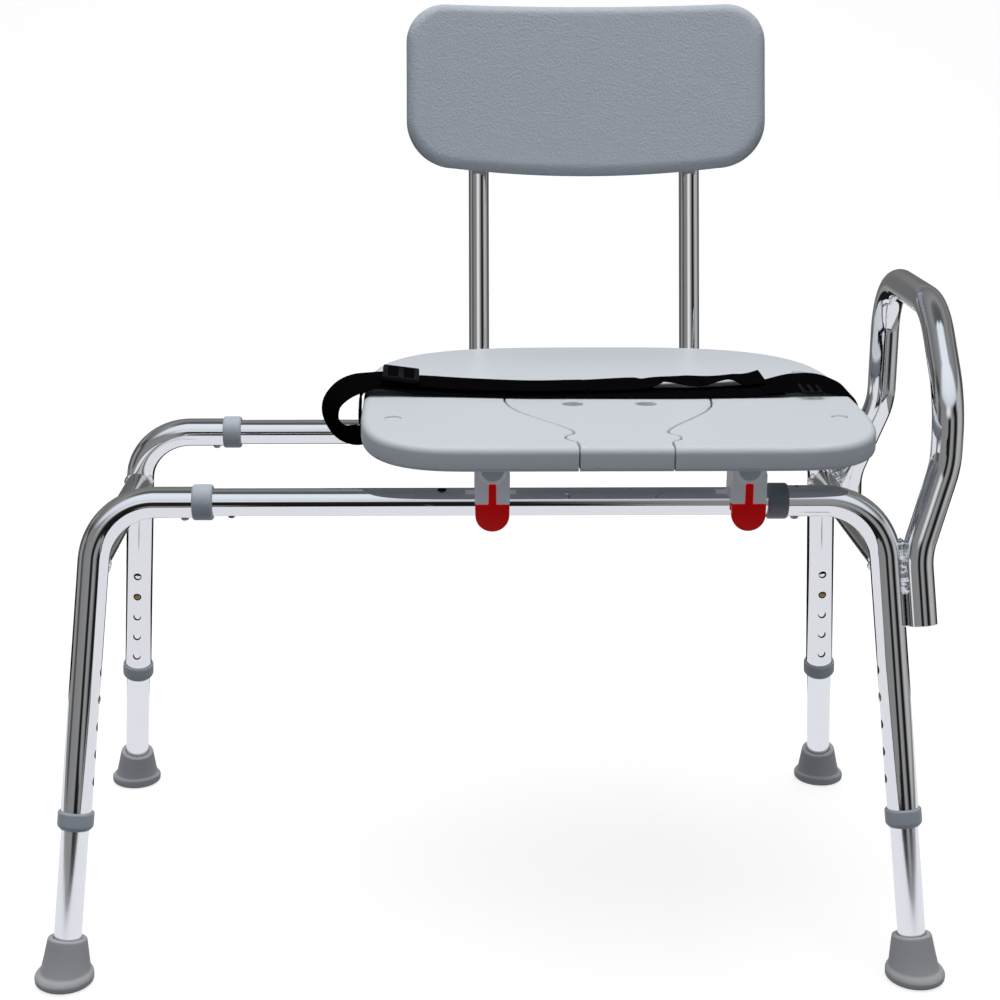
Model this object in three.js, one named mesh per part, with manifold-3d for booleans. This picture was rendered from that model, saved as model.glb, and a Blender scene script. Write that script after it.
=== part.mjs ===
// Bath transfer bench with a sliding seat. Millimetres, +Z up.
// Origin: on the floor, under the middle of the bounding box. +X runs along the slide rails
// towards the arm rail, -Y is the side the user sits down from, +Y is the backrest side.
// The dimensions are given from the point midway between the four feet, and the finished
// bench is moved by ORIGIN_X and ORIGIN_Y.
import * as THREE from "three";
import { mergeVertices } from "three/addons/utils/BufferGeometryUtils.js";
import Module from "manifold-3d";

// ---------------------------------------------------------------- shared dimensions
// Names: OD and ID are diameters, R a radius, W, H, L and T are width, height, length and
// thickness, DX a distance along X from the middle of the part it belongs to.
const ORIGIN_X = 4.747; // the bounding box's middle, from the point midway between the feet
const ORIGIN_Y = 52.082;
const RAIL_Y = 137; // half the spacing of the two slide rails
const RAIL_Z = 434.4; // height of the rail axes above the floor
const OUTER_OD = 28.6; // end frame tube
const OUTER_ID = 26.2;
const INNER_OD = 25.4; // slide rails and leg extensions
const INNER_ID = 22.6;
const INNER_BORE_SIDES = 12;
const BUTTON_R = 3.8;
const BUTTON_SIDES = 9; // of the snap buttons and of the holes they stand in
const HOLE_REACH = 30; // length of the cutters for holes in one wall of a tube
const GAP = 0.3; // fitting clearance
const OVERCUT = 5; // how far a cutter runs past the faces it opens
const TUBE_SIDES = 16;

const SEAT_X = 117.5; // middle of the seat, at the right end of its travel
const SEAT_TOP = 504.5;
const SEAT_T = 22;
const SEAT_BOTTOM = SEAT_TOP - SEAT_T;
const BACK_X = SEAT_X - 1.5; // middle of the backrest
const POST_DX = 116;
const POST_OD = 22.2;
const POST_RUN_Z = 464; // height of a post's lower straight run
const POST_SIDES = 14;
const POST_BUTTON_Y = 200;
const POST_HOLE_REACH = 20;

const ENDS = [["left", -1], ["right", 1]];
const ROWS = [["front", -1], ["rear", 1]];
const CORNERS = ENDS.flatMap(([end, xSign]) =>
  ROWS.map(([row, ySign]) => ({ end, xSign, row, ySign, name: `${end}_${row}` })),
);

// ---------------------------------------------------------------- materials
// metalness is 0 where it is not given
const material = (settings) => new THREE.MeshStandardMaterial(settings);
const TUBE = material({ color: 0xe2e3e6, roughness: 0.12, metalness: 1 });
const COLLAR = material({ color: 0xc5cbd1, roughness: 0.55 });
const RUBBER = material({ color: 0xafb0b1, roughness: 0.8 });
const SEAT = material({ color: 0xcfd4d8, roughness: 0.45 });
const BACK = material({ color: 0xc5cbd1, roughness: 0.5 });
const GLIDE = material({ color: 0xcbcece, roughness: 0.5 });
const RED = material({ color: 0xd41216, roughness: 0.35 });
const BRASS = material({ color: 0x8c7a4a, roughness: 0.3, metalness: 1 });
const WEB = material({ color: 0x141416, roughness: 0.85 });
const BLACK = material({ color: 0x18181a, roughness: 0.4 });

// ---------------------------------------------------------------- solids and meshes
const wasm = await Module();
wasm.setup();
const vec = (x, y, z) => new THREE.Vector3(x, y, z);
const UP = vec(0, 0, 1);
const DOWN = vec(0, 0, -1);

function solid(geometry) {
  const bare = geometry.clone();
  bare.deleteAttribute("normal");
  bare.deleteAttribute("uv");
  const merged = mergeVertices(bare, 1e-4);
  return new wasm.Manifold(
    new wasm.Mesh({
      numProp: 3,
      vertProperties: new Float32Array(merged.attributes.position.array),
      triVerts: new Uint32Array(merged.index.array),
    }),
  );
}

// a flat-shaded geometry of a solid
function shell(piece) {
  const mesh = piece.getMesh();
  const geometry = new THREE.BufferGeometry();
  geometry.setAttribute("position", new THREE.BufferAttribute(mesh.vertProperties, 3));
  geometry.setIndex(new THREE.BufferAttribute(mesh.triVerts, 1));
  const flat = geometry.toNonIndexed();
  flat.computeVertexNormals();
  return flat;
}

const cut = (body, ...tools) => tools.reduce((rest, tool) => rest.subtract(tool), body);
const join = (first, ...others) => others.reduce((sum, other) => sum.add(other), first);

function addGroup(parent, name) {
  const child = new THREE.Group();
  child.name = name;
  parent.add(child);
  return child;
}

function place(parent, name, piece, look, origin = vec(0, 0, 0)) {
  const moved = piece.translate([-origin.x, -origin.y, -origin.z]);
  const mesh = new THREE.Mesh(shell(moved), look);
  mesh.name = name;
  mesh.position.copy(origin);
  parent.add(mesh);
}

// ---------------------------------------------------------------- shape helpers
// A path of straight runs joined by circular bends, sampled only where it needs to be.
class BentPath extends THREE.Curve {
  // corners: [[point, bend radius], ...]; the first and last radius are not used
  // step: the largest angle between two samples of a bend
  constructor(corners, step = 0.36) {
    super();
    this.points = [];
    this.tangents = [];
    const put = (point, tangent) => {
      this.points.push(point.clone());
      this.tangents.push(tangent.clone().normalize());
    };
    const last = corners.length - 1;
    const runWay = (i) => corners[i + 1][0].clone().sub(corners[i][0]).normalize();
    put(corners[0][0], runWay(0));
    for (let i = 1; i < last; i++) {
      const [corner, radius] = corners[i];
      const before = runWay(i - 1);
      const after = runWay(i);
      const turn = before.angleTo(after);
      const axis = before.clone().cross(after).normalize();
      const start = corner.clone().addScaledVector(before, -radius * Math.tan(turn / 2));
      const inward = axis.clone().cross(before).normalize();
      const centre = start.clone().addScaledVector(inward, radius);
      const count = Math.max(2, Math.ceil(turn / step));
      for (let j = 0; j <= count; j++) {
        const angle = (turn * j) / count;
        const spoke = start.clone().sub(centre).applyAxisAngle(axis, angle);
        put(centre.clone().add(spoke), before.clone().applyAxisAngle(axis, angle));
      }
    }
    put(corners[last][0], runWay(last - 1));
    this.steps = this.points.length - 1;
  }
  // one step of the curve's parameter is one sample, whatever its length
  between(list, u) {
    const place = Math.min(Math.max(u, 0), 1) * this.steps;
    const i = Math.min(Math.floor(place + 1e-9), this.steps - 1);
    return list[i].clone().lerp(list[i + 1], place - i);
  }
  getPointAt(u) {
    return this.between(this.points, u);
  }
  getTangentAt(u) {
    return this.between(this.tangents, u).normalize();
  }
}

function polygon(radius, sides, PathClass) {
  const points = [];
  for (let i = 0; i < sides; i++) {
    const angle = (2 * Math.PI * i) / sides;
    points.push(new THREE.Vector2(radius * Math.cos(angle), radius * Math.sin(angle)));
  }
  return new PathClass(points);
}

function tubeAlong(path, od, id = 0, sides = TUBE_SIDES, boreSides = sides) {
  const shape = polygon(od / 2, sides, THREE.Shape);
  if (id) shape.holes.push(polygon(id / 2, boreSides, THREE.Path));
  return solid(
    new THREE.ExtrudeGeometry(shape, {
      steps: path.steps,
      extrudePath: path,
      curveSegments: 1,
    }),
  );
}

const turnFromY = (way) => new THREE.Quaternion().setFromUnitVectors(vec(0, 1, 0), way);

function rod(start, end, radius, sides) {
  const geometry = new THREE.CylinderGeometry(radius, radius, start.distanceTo(end), sides);
  geometry.applyQuaternion(turnFromY(end.clone().sub(start).normalize()));
  const middle = start.clone().add(end).multiplyScalar(0.5);
  geometry.translate(middle.x, middle.y, middle.z);
  return solid(geometry);
}

// a rod given by its start, direction and length
const drill = (start, way, length, radius, sides) =>
  rod(start, start.clone().addScaledVector(way, length), radius, sides);

// a box given by its [low, high] spans
function box([x0, x1], [y0, y1], [z0, z1]) {
  const geometry = new THREE.BoxGeometry(x1 - x0, y1 - y0, z1 - z0);
  geometry.translate((x0 + x1) / 2, (y0 + y1) / 2, (z0 + z1) / 2);
  return solid(geometry);
}
const span = (half, middle = 0) => [middle - half, middle + half];

// a profile of [radius, height along the axis] turned about the line from `base` along `axis`
function turned(profile, base, axis, sides) {
  const outline = profile.map(([radius, height]) => new THREE.Vector2(radius, height));
  const geometry = new THREE.LatheGeometry(outline, sides);
  geometry.applyQuaternion(turnFromY(axis.clone().normalize()));
  geometry.translate(base.x, base.y, base.z);
  const piece = solid(geometry);
  return piece.volume() > 0 ? piece : solid(flip(geometry));
}

// turns a geometry's faces the other way out
function flip(geometry) {
  const flipped = geometry.clone();
  const index = Array.from(geometry.index.array);
  for (let i = 0; i < index.length; i += 3) {
    [index[i + 1], index[i + 2]] = [index[i + 2], index[i + 1]];
  }
  flipped.setIndex(index);
  return flipped;
}

function extruded(points, depth) {
  const shape = new THREE.Shape(points.map(([x, y]) => new THREE.Vector2(x, y)));
  return new THREE.ExtrudeGeometry(shape, { depth, bevelEnabled: false, curveSegments: 1 });
}

// an outline of [x, y] between two heights
function plateXY(points, z0, z1) {
  const geometry = extruded(points, z1 - z0);
  geometry.translate(0, 0, z0);
  return solid(geometry);
}

// an outline of [x, z] between two places along Y
function plateXZ(points, y0, y1) {
  const geometry = extruded(points, y1 - y0);
  geometry.rotateX(Math.PI / 2);
  geometry.translate(0, y1, 0);
  return solid(geometry);
}

// points on an elliptic arc, or a superelliptic one where power is above 2
function arc(cx, cy, radiusX, radiusY, from, to, count, power = 2) {
  const bulge = (value) => Math.sign(value) * Math.pow(Math.abs(value), 2 / power);
  return Array.from({ length: count + 1 }, (_, i) => {
    const angle = from + ((to - from) * i) / count;
    return [cx + radiusX * bulge(Math.cos(angle)), cy + radiusY * bulge(Math.sin(angle))];
  });
}

const group = new THREE.Group();
group.name = "bath_transfer_bench";
const bench = addGroup(group, "bench");
bench.position.set(-ORIGIN_X, -ORIGIN_Y, 0);

// ---------------------------------------------------------------- snap buttons
// Profiles of [radius, distance from the tube's axis]: a base that bears inside the tube's
// wall, then a pin with a domed end.
const RAIL_BUTTON_PROFILE = [
  [0, 6.2], [BUTTON_R + 2.2, 6.2], [BUTTON_R + 2.2, 7.6], [BUTTON_R, 7.6],
  [BUTTON_R, 15.4], [BUTTON_R - 1.2, 16.6], [0, 17.2],
];
const LEG_BUTTON_PROFILE = [
  [0, 6.2], [BUTTON_R + 2, 6.2], [BUTTON_R + 2, 7.6], [BUTTON_R - 0.4, 7.9],
  [BUTTON_R - 0.4, 13.9], [BUTTON_R - 1.6, 14.9], [0, 15.3],
];
const POST_BUTTON_PROFILE = [
  [0, 4.4], [4.8, 4.4], [4.8, 5.8], [3.1, 6.1],
  [3.1, 13.4], [2.2, 14.4], [0, 14.8],
];
const placeButton = (parent, name, profile, base, way) =>
  place(parent, name, turned(profile, base, way, BUTTON_SIDES), BRASS);

// ---------------------------------------------------------------- leg geometry
const FOOT_X = 393.9; // half the foot spacing along the rails
const FOOT_Y = 227; // half the foot spacing across the rails
const LEG_LEAN = 0.0831; // how far a leg leans outward along X for each mm of drop
const SPLAY = (FOOT_Y - RAIL_Y) / RAIL_Z; // the same along Y
const HOLE_PITCH = 25.4; // along the leg
const HOLE_TOP_Z = { front: 283.1, rear: 271.4 }; // height of the top hole

const legPoint = (xSign, ySign, z) =>
  vec(xSign * (FOOT_X - LEG_LEAN * z), ySign * (RAIL_Y + SPLAY * (RAIL_Z - z)), z);
const legUp = (xSign, ySign) =>
  legPoint(xSign, ySign, 400).sub(legPoint(xSign, ySign, 0)).normalize();
const RISE = legUp(1, 1).z; // height gained for each mm along a leg
const holeZ = (row, i) => HOLE_TOP_Z[row] - i * HOLE_PITCH * RISE;

// The side a leg's holes face, square to the leg: the front legs' holes face each other,
// the rear legs' face forward.
function holeWay({ row, xSign, ySign }) {
  const way = row === "front" ? vec(-xSign, 0, 0) : vec(0, -1, 0);
  const up = legUp(xSign, ySign);
  return way.addScaledVector(up, -way.dot(up)).normalize();
}

// ---------------------------------------------------------------- end frames
const BEND_R = 57; // centre-line radius of the end frame bends
const RAIL_COLLAR_X = 261.5; // middle of a rail collar
const RAIL_COLLAR_L = 18.5;
const RAIL_COLLAR_OD = 33;
const RAIL_COLLAR_LIP = 2.2; // length of the narrow bore
const RAIL_BUTTON_X = 278.5;
const LEG_COLLAR_Z = 148;
const LEG_COLLAR_L = 17;
const LEG_COLLAR_OD = 33.4;
const LEG_COLLAR_LIP = 3;
const LEG_COLLAR_TAPER_R = 2.2;
const LEG_COLLAR_TAPER_H = 3.5;
const LEG_TUBE_INSET = 3.5; // the leg tube's end, from the collar's lower end
const HOLE_COUNT = 5;
const HOLE_R = 4.3;
const HOLE_SIDES = 8;
const CROSS_OD = 25.4;
const CROSS_WALL = 1.6;
const CROSS_Z = 378;
const CROSS_BORE_INSET = 5; // the bore's ends, inside the legs
const CROSS_BORE_SIDES = 10;
const railButtonAt = (xSign, ySign) => vec(xSign * RAIL_BUTTON_X, ySign * RAIL_Y, RAIL_Z);

// from the rail collar along the rail's axis, round the bend and down the leg
function legPath({ xSign, ySign }) {
  const startX = RAIL_COLLAR_X - RAIL_COLLAR_L / 2 + RAIL_COLLAR_LIP + GAP;
  const endZ = LEG_COLLAR_Z - (LEG_COLLAR_L / 2 - LEG_TUBE_INSET) * RISE;
  return new BentPath([
    [vec(xSign * startX, ySign * RAIL_Y, RAIL_Z), 0],
    [legPoint(xSign, ySign, RAIL_Z), BEND_R],
    [legPoint(xSign, ySign, endZ), 0],
  ]);
}

function legTube(corner) {
  const { row, xSign, ySign } = corner;
  const way = holeWay(corner);
  const holes = Array.from({ length: HOLE_COUNT }, (_, i) =>
    drill(legPoint(xSign, ySign, holeZ(row, i)), way, HOLE_REACH, HOLE_R, HOLE_SIDES),
  );
  const button = railButtonAt(xSign, ySign);
  return cut(
    tubeAlong(legPath(corner), OUTER_OD, OUTER_ID),
    ...holes,
    drill(button, DOWN, HOLE_REACH, BUTTON_R + 0.6, BUTTON_SIDES),
  );
}

// Both collars have a stepped bore: the wide end takes the end frame tube, the narrow end
// grips the tube that slides into it.
const steppedBore = (half, lip) => [
  [OUTER_OD / 2 + GAP, half],
  [OUTER_OD / 2 + GAP, -half + lip],
  [INNER_OD / 2 + GAP, -half + lip],
  [INNER_OD / 2 + GAP, -half],
];

function railCollar({ xSign, ySign }) {
  const half = RAIL_COLLAR_L / 2;
  const profile = [
    [INNER_OD / 2 + GAP, -half],
    [RAIL_COLLAR_OD / 2, -half],
    [RAIL_COLLAR_OD / 2, half],
    ...steppedBore(half, RAIL_COLLAR_LIP),
  ];
  const middle = vec(xSign * RAIL_COLLAR_X, ySign * RAIL_Y, RAIL_Z);
  return turned(profile, middle, vec(xSign, 0, 0), TUBE_SIDES);
}

function legCollar({ xSign, ySign }) {
  const half = LEG_COLLAR_L / 2;
  const profile = [
    [INNER_OD / 2 + GAP, -half],
    [LEG_COLLAR_OD / 2 - LEG_COLLAR_TAPER_R, -half],
    [LEG_COLLAR_OD / 2, -half + LEG_COLLAR_TAPER_H],
    [LEG_COLLAR_OD / 2, half],
    ...steppedBore(half, LEG_COLLAR_LIP),
  ];
  const middle = legPoint(xSign, ySign, LEG_COLLAR_Z);
  return turned(profile, middle, legUp(xSign, ySign), TUBE_SIDES);
}

// the cross tube is coped to the legs it is welded to
function crossTube(corners) {
  const [front, rear] = corners.map(({ xSign, ySign }) => legPoint(xSign, ySign, CROSS_Z));
  const inset = vec(0, CROSS_BORE_INSET, 0);
  const bore = rod(
    front.clone().add(inset),
    rear.clone().sub(inset),
    CROSS_OD / 2 - CROSS_WALL,
    CROSS_BORE_SIDES,
  );
  const legs = corners.map((corner) => tubeAlong(legPath(corner), OUTER_OD + 2 * GAP));
  const coped = cut(rod(front, rear, CROSS_OD / 2, TUBE_SIDES), bore, ...legs);
  // the largest part is the span between the legs
  return coped.decompose().sort((one, other) => other.volume() - one.volume())[0];
}

function endFrame(end) {
  const frame = addGroup(bench, `${end}_end_frame`);
  const corners = CORNERS.filter((corner) => corner.end === end);
  for (const corner of corners) {
    place(frame, `${corner.name}_leg_tube`, legTube(corner), TUBE);
    place(frame, `${corner.name}_rail_collar`, railCollar(corner), COLLAR);
    place(frame, `${corner.name}_leg_collar`, legCollar(corner), COLLAR);
  }
  place(frame, `${end}_cross_tube`, crossTube(corners), TUBE);
  return frame;
}
endFrame("left");
const rightFrame = endFrame("right");

// ---------------------------------------------------------------- arm rail
const ARM_OD = 28.6;
const ARM_ID = 25.2;
const ARM_BORE_SIDES = 10;
const ARM_STEP = 0.42;
const ARM_X = 416.5; // above the lower bends
const ARM_END_Z = { front: 322, rear: 347 }; // the rear end stops higher up its leg
const ARM_LOWER_BEND_Z = 387;
const ARM_LOWER_BEND_R = 70;
// corners above the lower bends, front to rear: [y, z, bend radius]
const ARM_BENDS = [
  [-129, 466, 80], [-127, 524, 85], [-53, 600, 80], [131, 600, 58], [129, 468, 80],
];
const ARM_DX = OUTER_OD / 2 + ARM_OD / 2 + GAP; // from the leg's axis, outboard beside it
const ARM_PLUG_R = ARM_ID / 2 - 0.9;
const ARM_PLUG_PROFILE = [[0, 3], [ARM_PLUG_R, 3], [ARM_PLUG_R, 15], [0, 15]];
const ARM_PLUG_SIDES = 12;

const besideLeg = (ySign, z) => legPoint(1, ySign, z).add(vec(ARM_DX, 0, 0));
const armPath = new BentPath(
  [
    [besideLeg(-1, ARM_END_Z.front), 0],
    [besideLeg(-1, ARM_LOWER_BEND_Z), ARM_LOWER_BEND_R],
    ...ARM_BENDS.map(([y, z, radius]) => [vec(ARM_X, y, z), radius]),
    [besideLeg(1, ARM_LOWER_BEND_Z), ARM_LOWER_BEND_R],
    [besideLeg(1, ARM_END_Z.rear), 0],
  ],
  ARM_STEP,
);
const armTube = tubeAlong(armPath, ARM_OD, ARM_ID, TUBE_SIDES, ARM_BORE_SIDES);
place(rightFrame, "arm_rail", armTube, TUBE);
for (const [row, ySign] of ROWS) {
  const end = besideLeg(ySign, ARM_END_Z[row]);
  const plug = turned(ARM_PLUG_PROFILE, end, legUp(1, ySign), ARM_PLUG_SIDES);
  place(rightFrame, `arm_rail_plug_${row}`, plug, BLACK);
}

// ---------------------------------------------------------------- slide rails
const RAIL_END_X = 294; // where a slide rail ends inside its end frame
const RAIL_BORE_OVERCUT = 1;

function alongRail(ySign, halfLength, radius, sides) {
  const [start, end] = span(halfLength).map((x) => vec(x, ySign * RAIL_Y, RAIL_Z));
  return rod(start, end, radius, sides);
}
for (const [row, ySign] of ROWS) {
  let rail = cut(
    alongRail(ySign, RAIL_END_X, INNER_OD / 2, TUBE_SIDES),
    alongRail(ySign, RAIL_END_X + RAIL_BORE_OVERCUT, INNER_ID / 2, INNER_BORE_SIDES),
  );
  for (const [end, xSign] of ENDS) {
    const button = railButtonAt(xSign, ySign);
    rail = cut(rail, drill(button, DOWN, HOLE_REACH, BUTTON_R + 0.5, BUTTON_SIDES));
    placeButton(bench, `${end}_${row}_rail_button`, RAIL_BUTTON_PROFILE, button, DOWN);
  }
  place(bench, `${row}_rail`, rail, TUBE);
}

// ---------------------------------------------------------------- leg extensions and feet
const EXTENSION_END_Z = 7.5;
const BUTTON_HOLE = 1; // the button rests in the second hole from the top
const FOOT_FLANGE_R = 27.4;
const FOOT_FLANGE_T = 9;
const FOOT_CHAMFER = 2;
const FOOT_H = 40;
const FOOT_SLEEVE_START = 6; // up the leg, within the flange
const FOOT_BORE_START = 7;
const FOOT_SLEEVE_R = [23, 17.8]; // at its bottom and top
const FOOT_SIDES = 16;

function legExtension(corner, button) {
  const { row, xSign, ySign } = corner;
  const bottom = legPoint(xSign, ySign, EXTENSION_END_Z);
  const top = legPoint(xSign, ySign, HOLE_TOP_Z[row]);
  const past = legUp(xSign, ySign).multiplyScalar(OVERCUT);
  return cut(
    rod(bottom, top, INNER_OD / 2, TUBE_SIDES),
    rod(bottom.clone().sub(past), top.clone().add(past), INNER_ID / 2, INNER_BORE_SIDES),
    drill(button, holeWay(corner), HOLE_REACH, BUTTON_R + 0.4, BUTTON_SIDES),
  );
}

// a flat flange on the floor under a sleeve that follows the leg
function foot({ xSign, ySign }) {
  const base = legPoint(xSign, ySign, 0);
  const up = legUp(xSign, ySign);
  const flangeProfile = [
    [0, 0],
    [FOOT_FLANGE_R, 0],
    [FOOT_FLANGE_R, FOOT_FLANGE_T - FOOT_CHAMFER],
    [FOOT_FLANGE_R - FOOT_CHAMFER, FOOT_FLANGE_T],
    [0, FOOT_FLANGE_T],
  ];
  const sleeveProfile = [
    [0, FOOT_SLEEVE_START],
    [FOOT_SLEEVE_R[0], FOOT_SLEEVE_START],
    [FOOT_SLEEVE_R[1], FOOT_H],
    [0, FOOT_H],
  ];
  const bore = rod(
    base.clone().addScaledVector(up, FOOT_BORE_START),
    base.clone().addScaledVector(up, FOOT_H + OVERCUT),
    INNER_OD / 2 + GAP,
    TUBE_SIDES,
  );
  const flange = turned(flangeProfile, base, UP, FOOT_SIDES);
  const sleeve = turned(sleeveProfile, base, up, FOOT_SIDES);
  return cut(join(flange, sleeve), bore);
}

for (const corner of CORNERS) {
  const { name, row, xSign, ySign } = corner;
  const leg = addGroup(bench, `${name}_leg_extension_group`);
  const button = legPoint(xSign, ySign, holeZ(row, BUTTON_HOLE));
  place(leg, `${name}_leg_extension`, legExtension(corner, button), TUBE);
  placeButton(leg, `${name}_leg_button`, LEG_BUTTON_PROFILE, button, holeWay(corner));
  place(leg, `${name}_foot`, foot(corner), RUBBER);
}

// ---------------------------------------------------------------- seat outlines
const SEAT_HALF_W = 236.5;
const SEAT_FRONT = 217;
const SEAT_BACK = 243;
const SEAT_EDGE_INSET = 4; // how far the seat's top edge is drawn in
const SEAT_EDGE_H = 5;
const BACK_CURVE = { startY: 20, power: 3.2, count: 10 };
const FRONT_CURVE = { startY: -60, width: 106, power: 2.9, count: 8 };
const PLUG_X = SEAT_X - 1.5; // middle of the cut-out
const NECK_HALF_W = 41; // of the cut-out, at the seat's front edge
const NECK_Y = -150; // the neck lies forward of this

const seatGroup = addGroup(bench, "sliding_seat");

// Half outline of the seat, from the middle of the back round to the flat of the front:
// a superelliptic back, a straight side and a rounded front corner.
function seatHalf(inset) {
  const halfW = SEAT_HALF_W - inset;
  const back = BACK_CURVE;
  const front = FRONT_CURVE;
  const backH = SEAT_BACK - inset - back.startY;
  const frontH = SEAT_FRONT - inset + front.startY;
  const cornerX = halfW - front.width;
  const quarter = Math.PI / 2;
  return [
    ...arc(0, back.startY, halfW, backH, quarter, 0, back.count, back.power),
    ...arc(cornerX, front.startY, front.width, -frontH, 0, quarter, front.count, front.power),
  ];
}

// a half outline with its mirror image, about the line x = middle
function mirrored(half, middle) {
  const left = half
    .filter(([x]) => x > 1e-6)
    .map(([x, y]) => [-x, y])
    .reverse();
  return [...half, ...left].map(([x, y]) => [middle + x, y]);
}

// half outline of the cut-out, [x, y] from the middle of its back edge to the seat's front edge
const PLUG_HALF = [
  ...arc(0, -25, 99, 57, Math.PI / 2, 0, 8),
  [97, -45], [90, -69], [79, -91], [66, -112], [54, -130], [46, -145], [42, -158],
  [43, -165], [50, -171], [50.5, -180], [48, -188], [42, -192], [NECK_HALF_W, -200],
  [NECK_HALF_W, -SEAT_FRONT],
];

// the cut-out's outline grown sideways by `grow` (not along the neck where growNeck is false)
// and run past the seat's front edge by `beyond`
function plugOutline(grow, beyond, growNeck = true) {
  const last = PLUG_HALF.length - 1;
  const half = PLUG_HALF.map(([x, y], i) => {
    const [beforeX, beforeY] = PLUG_HALF[Math.max(0, i - 1)];
    const [afterX, afterY] = PLUG_HALF[Math.min(last, i + 1)];
    const along = new THREE.Vector2(afterX - beforeX, afterY - beforeY).normalize();
    const shift = !growNeck && y < NECK_Y ? 0 : grow;
    if (i === 0) return [0, y + shift];
    if (i === last) return [x + shift, -SEAT_FRONT - beyond];
    return [x - along.y * shift, y + along.x * shift];
  });
  return mirrored(half, PLUG_X);
}

// ---------------------------------------------------------------- seat and its cut-out plug
const SEAT_ORIGIN = vec(SEAT_X, 0, SEAT_TOP);
const LEDGE_Z = SEAT_BOTTOM + 5; // top of the ledge the plug rests on
const LEDGE_W = 7.5;
const LEDGE_OVERLAP = 1; // the lower opening's cutters run this far above the ledge
const PLUG_CLEARANCE = 0.5;
const PLUG_STEP_W = 8.2; // how far the plug's lower part is drawn in
const PLUG_FRONT_INSET = 0.2;
const PLUG_HOLE = { dx: 35, y: -42, radius: 9.8, sides: 14 };
const CAP_DX = 206;
const CAP_Y = 100;
const CAP_SIDES = 12;
const CAP_POCKET = { radius: 7.6, depth: 6 };
const CAP_PROFILE = [[0, -5.6], [7.0, -5.6], [7.0, -2.2], [6.2, -1.4], [0, -1.1]];
const SOCKET = { halfW: 15, spanY: [180, 222], below: 13.5, overlap: 2, boreY: [170, 240] };
const SOCKET_BUTTON_R = 3.8;

// the outline plate with its upper edge drawn in
const seatPlate = join(
  plateXY(mirrored(seatHalf(0), SEAT_X), SEAT_BOTTOM, SEAT_TOP - SEAT_EDGE_H),
  plateXY(mirrored(seatHalf(SEAT_EDGE_INSET), SEAT_X), SEAT_BOTTOM, SEAT_TOP),
);
const capAt = ({ xSign, ySign }) => vec(SEAT_X + xSign * CAP_DX, ySign * CAP_Y, SEAT_TOP);

const postButtonHole = (x, radius) =>
  drill(
    vec(x, POST_BUTTON_Y, POST_RUN_Z - POST_HOLE_REACH),
    UP,
    POST_HOLE_REACH,
    radius,
    BUTTON_SIDES,
  );

// the block under the seat that takes a backrest post
function socket(xSign) {
  const x = BACK_X + xSign * POST_DX;
  const heights = [POST_RUN_Z - SOCKET.below, SEAT_BOTTOM + SOCKET.overlap];
  const [start, end] = SOCKET.boreY.map((y) => vec(x, y, POST_RUN_Z));
  return cut(
    box(span(SOCKET.halfW, x), SOCKET.spanY, heights),
    rod(start, end, POST_OD / 2 + 0.5, POST_SIDES),
    postButtonHole(x, SOCKET_BUTTON_R),
  );
}

function seatPanel() {
  const under = [SEAT_BOTTOM - OVERCUT, LEDGE_Z + LEDGE_OVERLAP];
  const capPockets = CORNERS.map((corner) => {
    const bottom = capAt(corner).add(vec(0, 0, -CAP_POCKET.depth));
    return drill(bottom, UP, CAP_POCKET.depth + OVERCUT, CAP_POCKET.radius, CAP_SIDES);
  });
  return cut(
    join(seatPlate, socket(-1), socket(1)),
    plateXY(plugOutline(PLUG_CLEARANCE, OVERCUT), LEDGE_Z, SEAT_TOP + OVERCUT),
    plateXY(plugOutline(-LEDGE_W, OVERCUT, false), ...under),
    // the neck is open all the way down
    box(span(NECK_HALF_W + PLUG_CLEARANCE, PLUG_X), [-230, NECK_Y], under),
    ...capPockets,
  );
}
place(seatGroup, "seat_panel", seatPanel(), SEAT, SEAT_ORIGIN);

// the cut-out's own piece: it drops in from above and rests on the ledge
function cutoutPlug() {
  const blank = join(
    plateXY(plugOutline(0, -PLUG_FRONT_INSET), LEDGE_Z + GAP, SEAT_TOP),
    plateXY(plugOutline(-PLUG_STEP_W, -PLUG_FRONT_INSET, false), SEAT_BOTTOM, SEAT_TOP - 1),
  );
  const holes = [-1, 1].map((xSign) => {
    const bottom = vec(PLUG_X + xSign * PLUG_HOLE.dx, PLUG_HOLE.y, SEAT_BOTTOM - OVERCUT);
    return drill(bottom, UP, SEAT_T + 2 * OVERCUT, PLUG_HOLE.radius, PLUG_HOLE.sides);
  });
  return cut(blank.intersect(seatPlate), ...holes);
}
place(seatGroup, "seat_cutout_plug", cutoutPlug(), SEAT, SEAT_ORIGIN);

for (const corner of CORNERS) {
  const cap = turned(CAP_PROFILE, capAt(corner), UP, CAP_SIDES);
  place(seatGroup, `${corner.name}_seat_screw_cap`, cap, SEAT);
}

// ---------------------------------------------------------------- glides and latch levers
// Both are built about the rail's axis, with -Y facing out from between the rails.
const LATCH_DX = 116;
const GLIDE_HALF_W = 15.7;
const GLIDE_TOP = SEAT_BOTTOM - RAIL_Z - GAP;
const FLANGE_BOTTOM = GLIDE_TOP - 4;
const GLIDE_CUT_Y = -25; // cutters start here, outside the outer face
const RECESS = { radius: 12.4, z: 32.4, endY: -17 };
const SLOT_HALF_W = 3.9;
const PIVOT_Y = -15.6;
const PIVOT_Z = 17;
const CORNER_X = GLIDE_HALF_W - 3.4; // inner side of the chamfered upper corner
const LEVER = { halfW: 15.5, top: 1.5, straightEnd: -8.4, bottom: -23.1 };
const HUB_HALF_W = 3.3;

const pivotRod = (halfLength, radius, sides) =>
  rod(vec(-halfLength, PIVOT_Y, PIVOT_Z), vec(halfLength, PIVOT_Y, PIVOT_Z), radius, sides);

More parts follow.
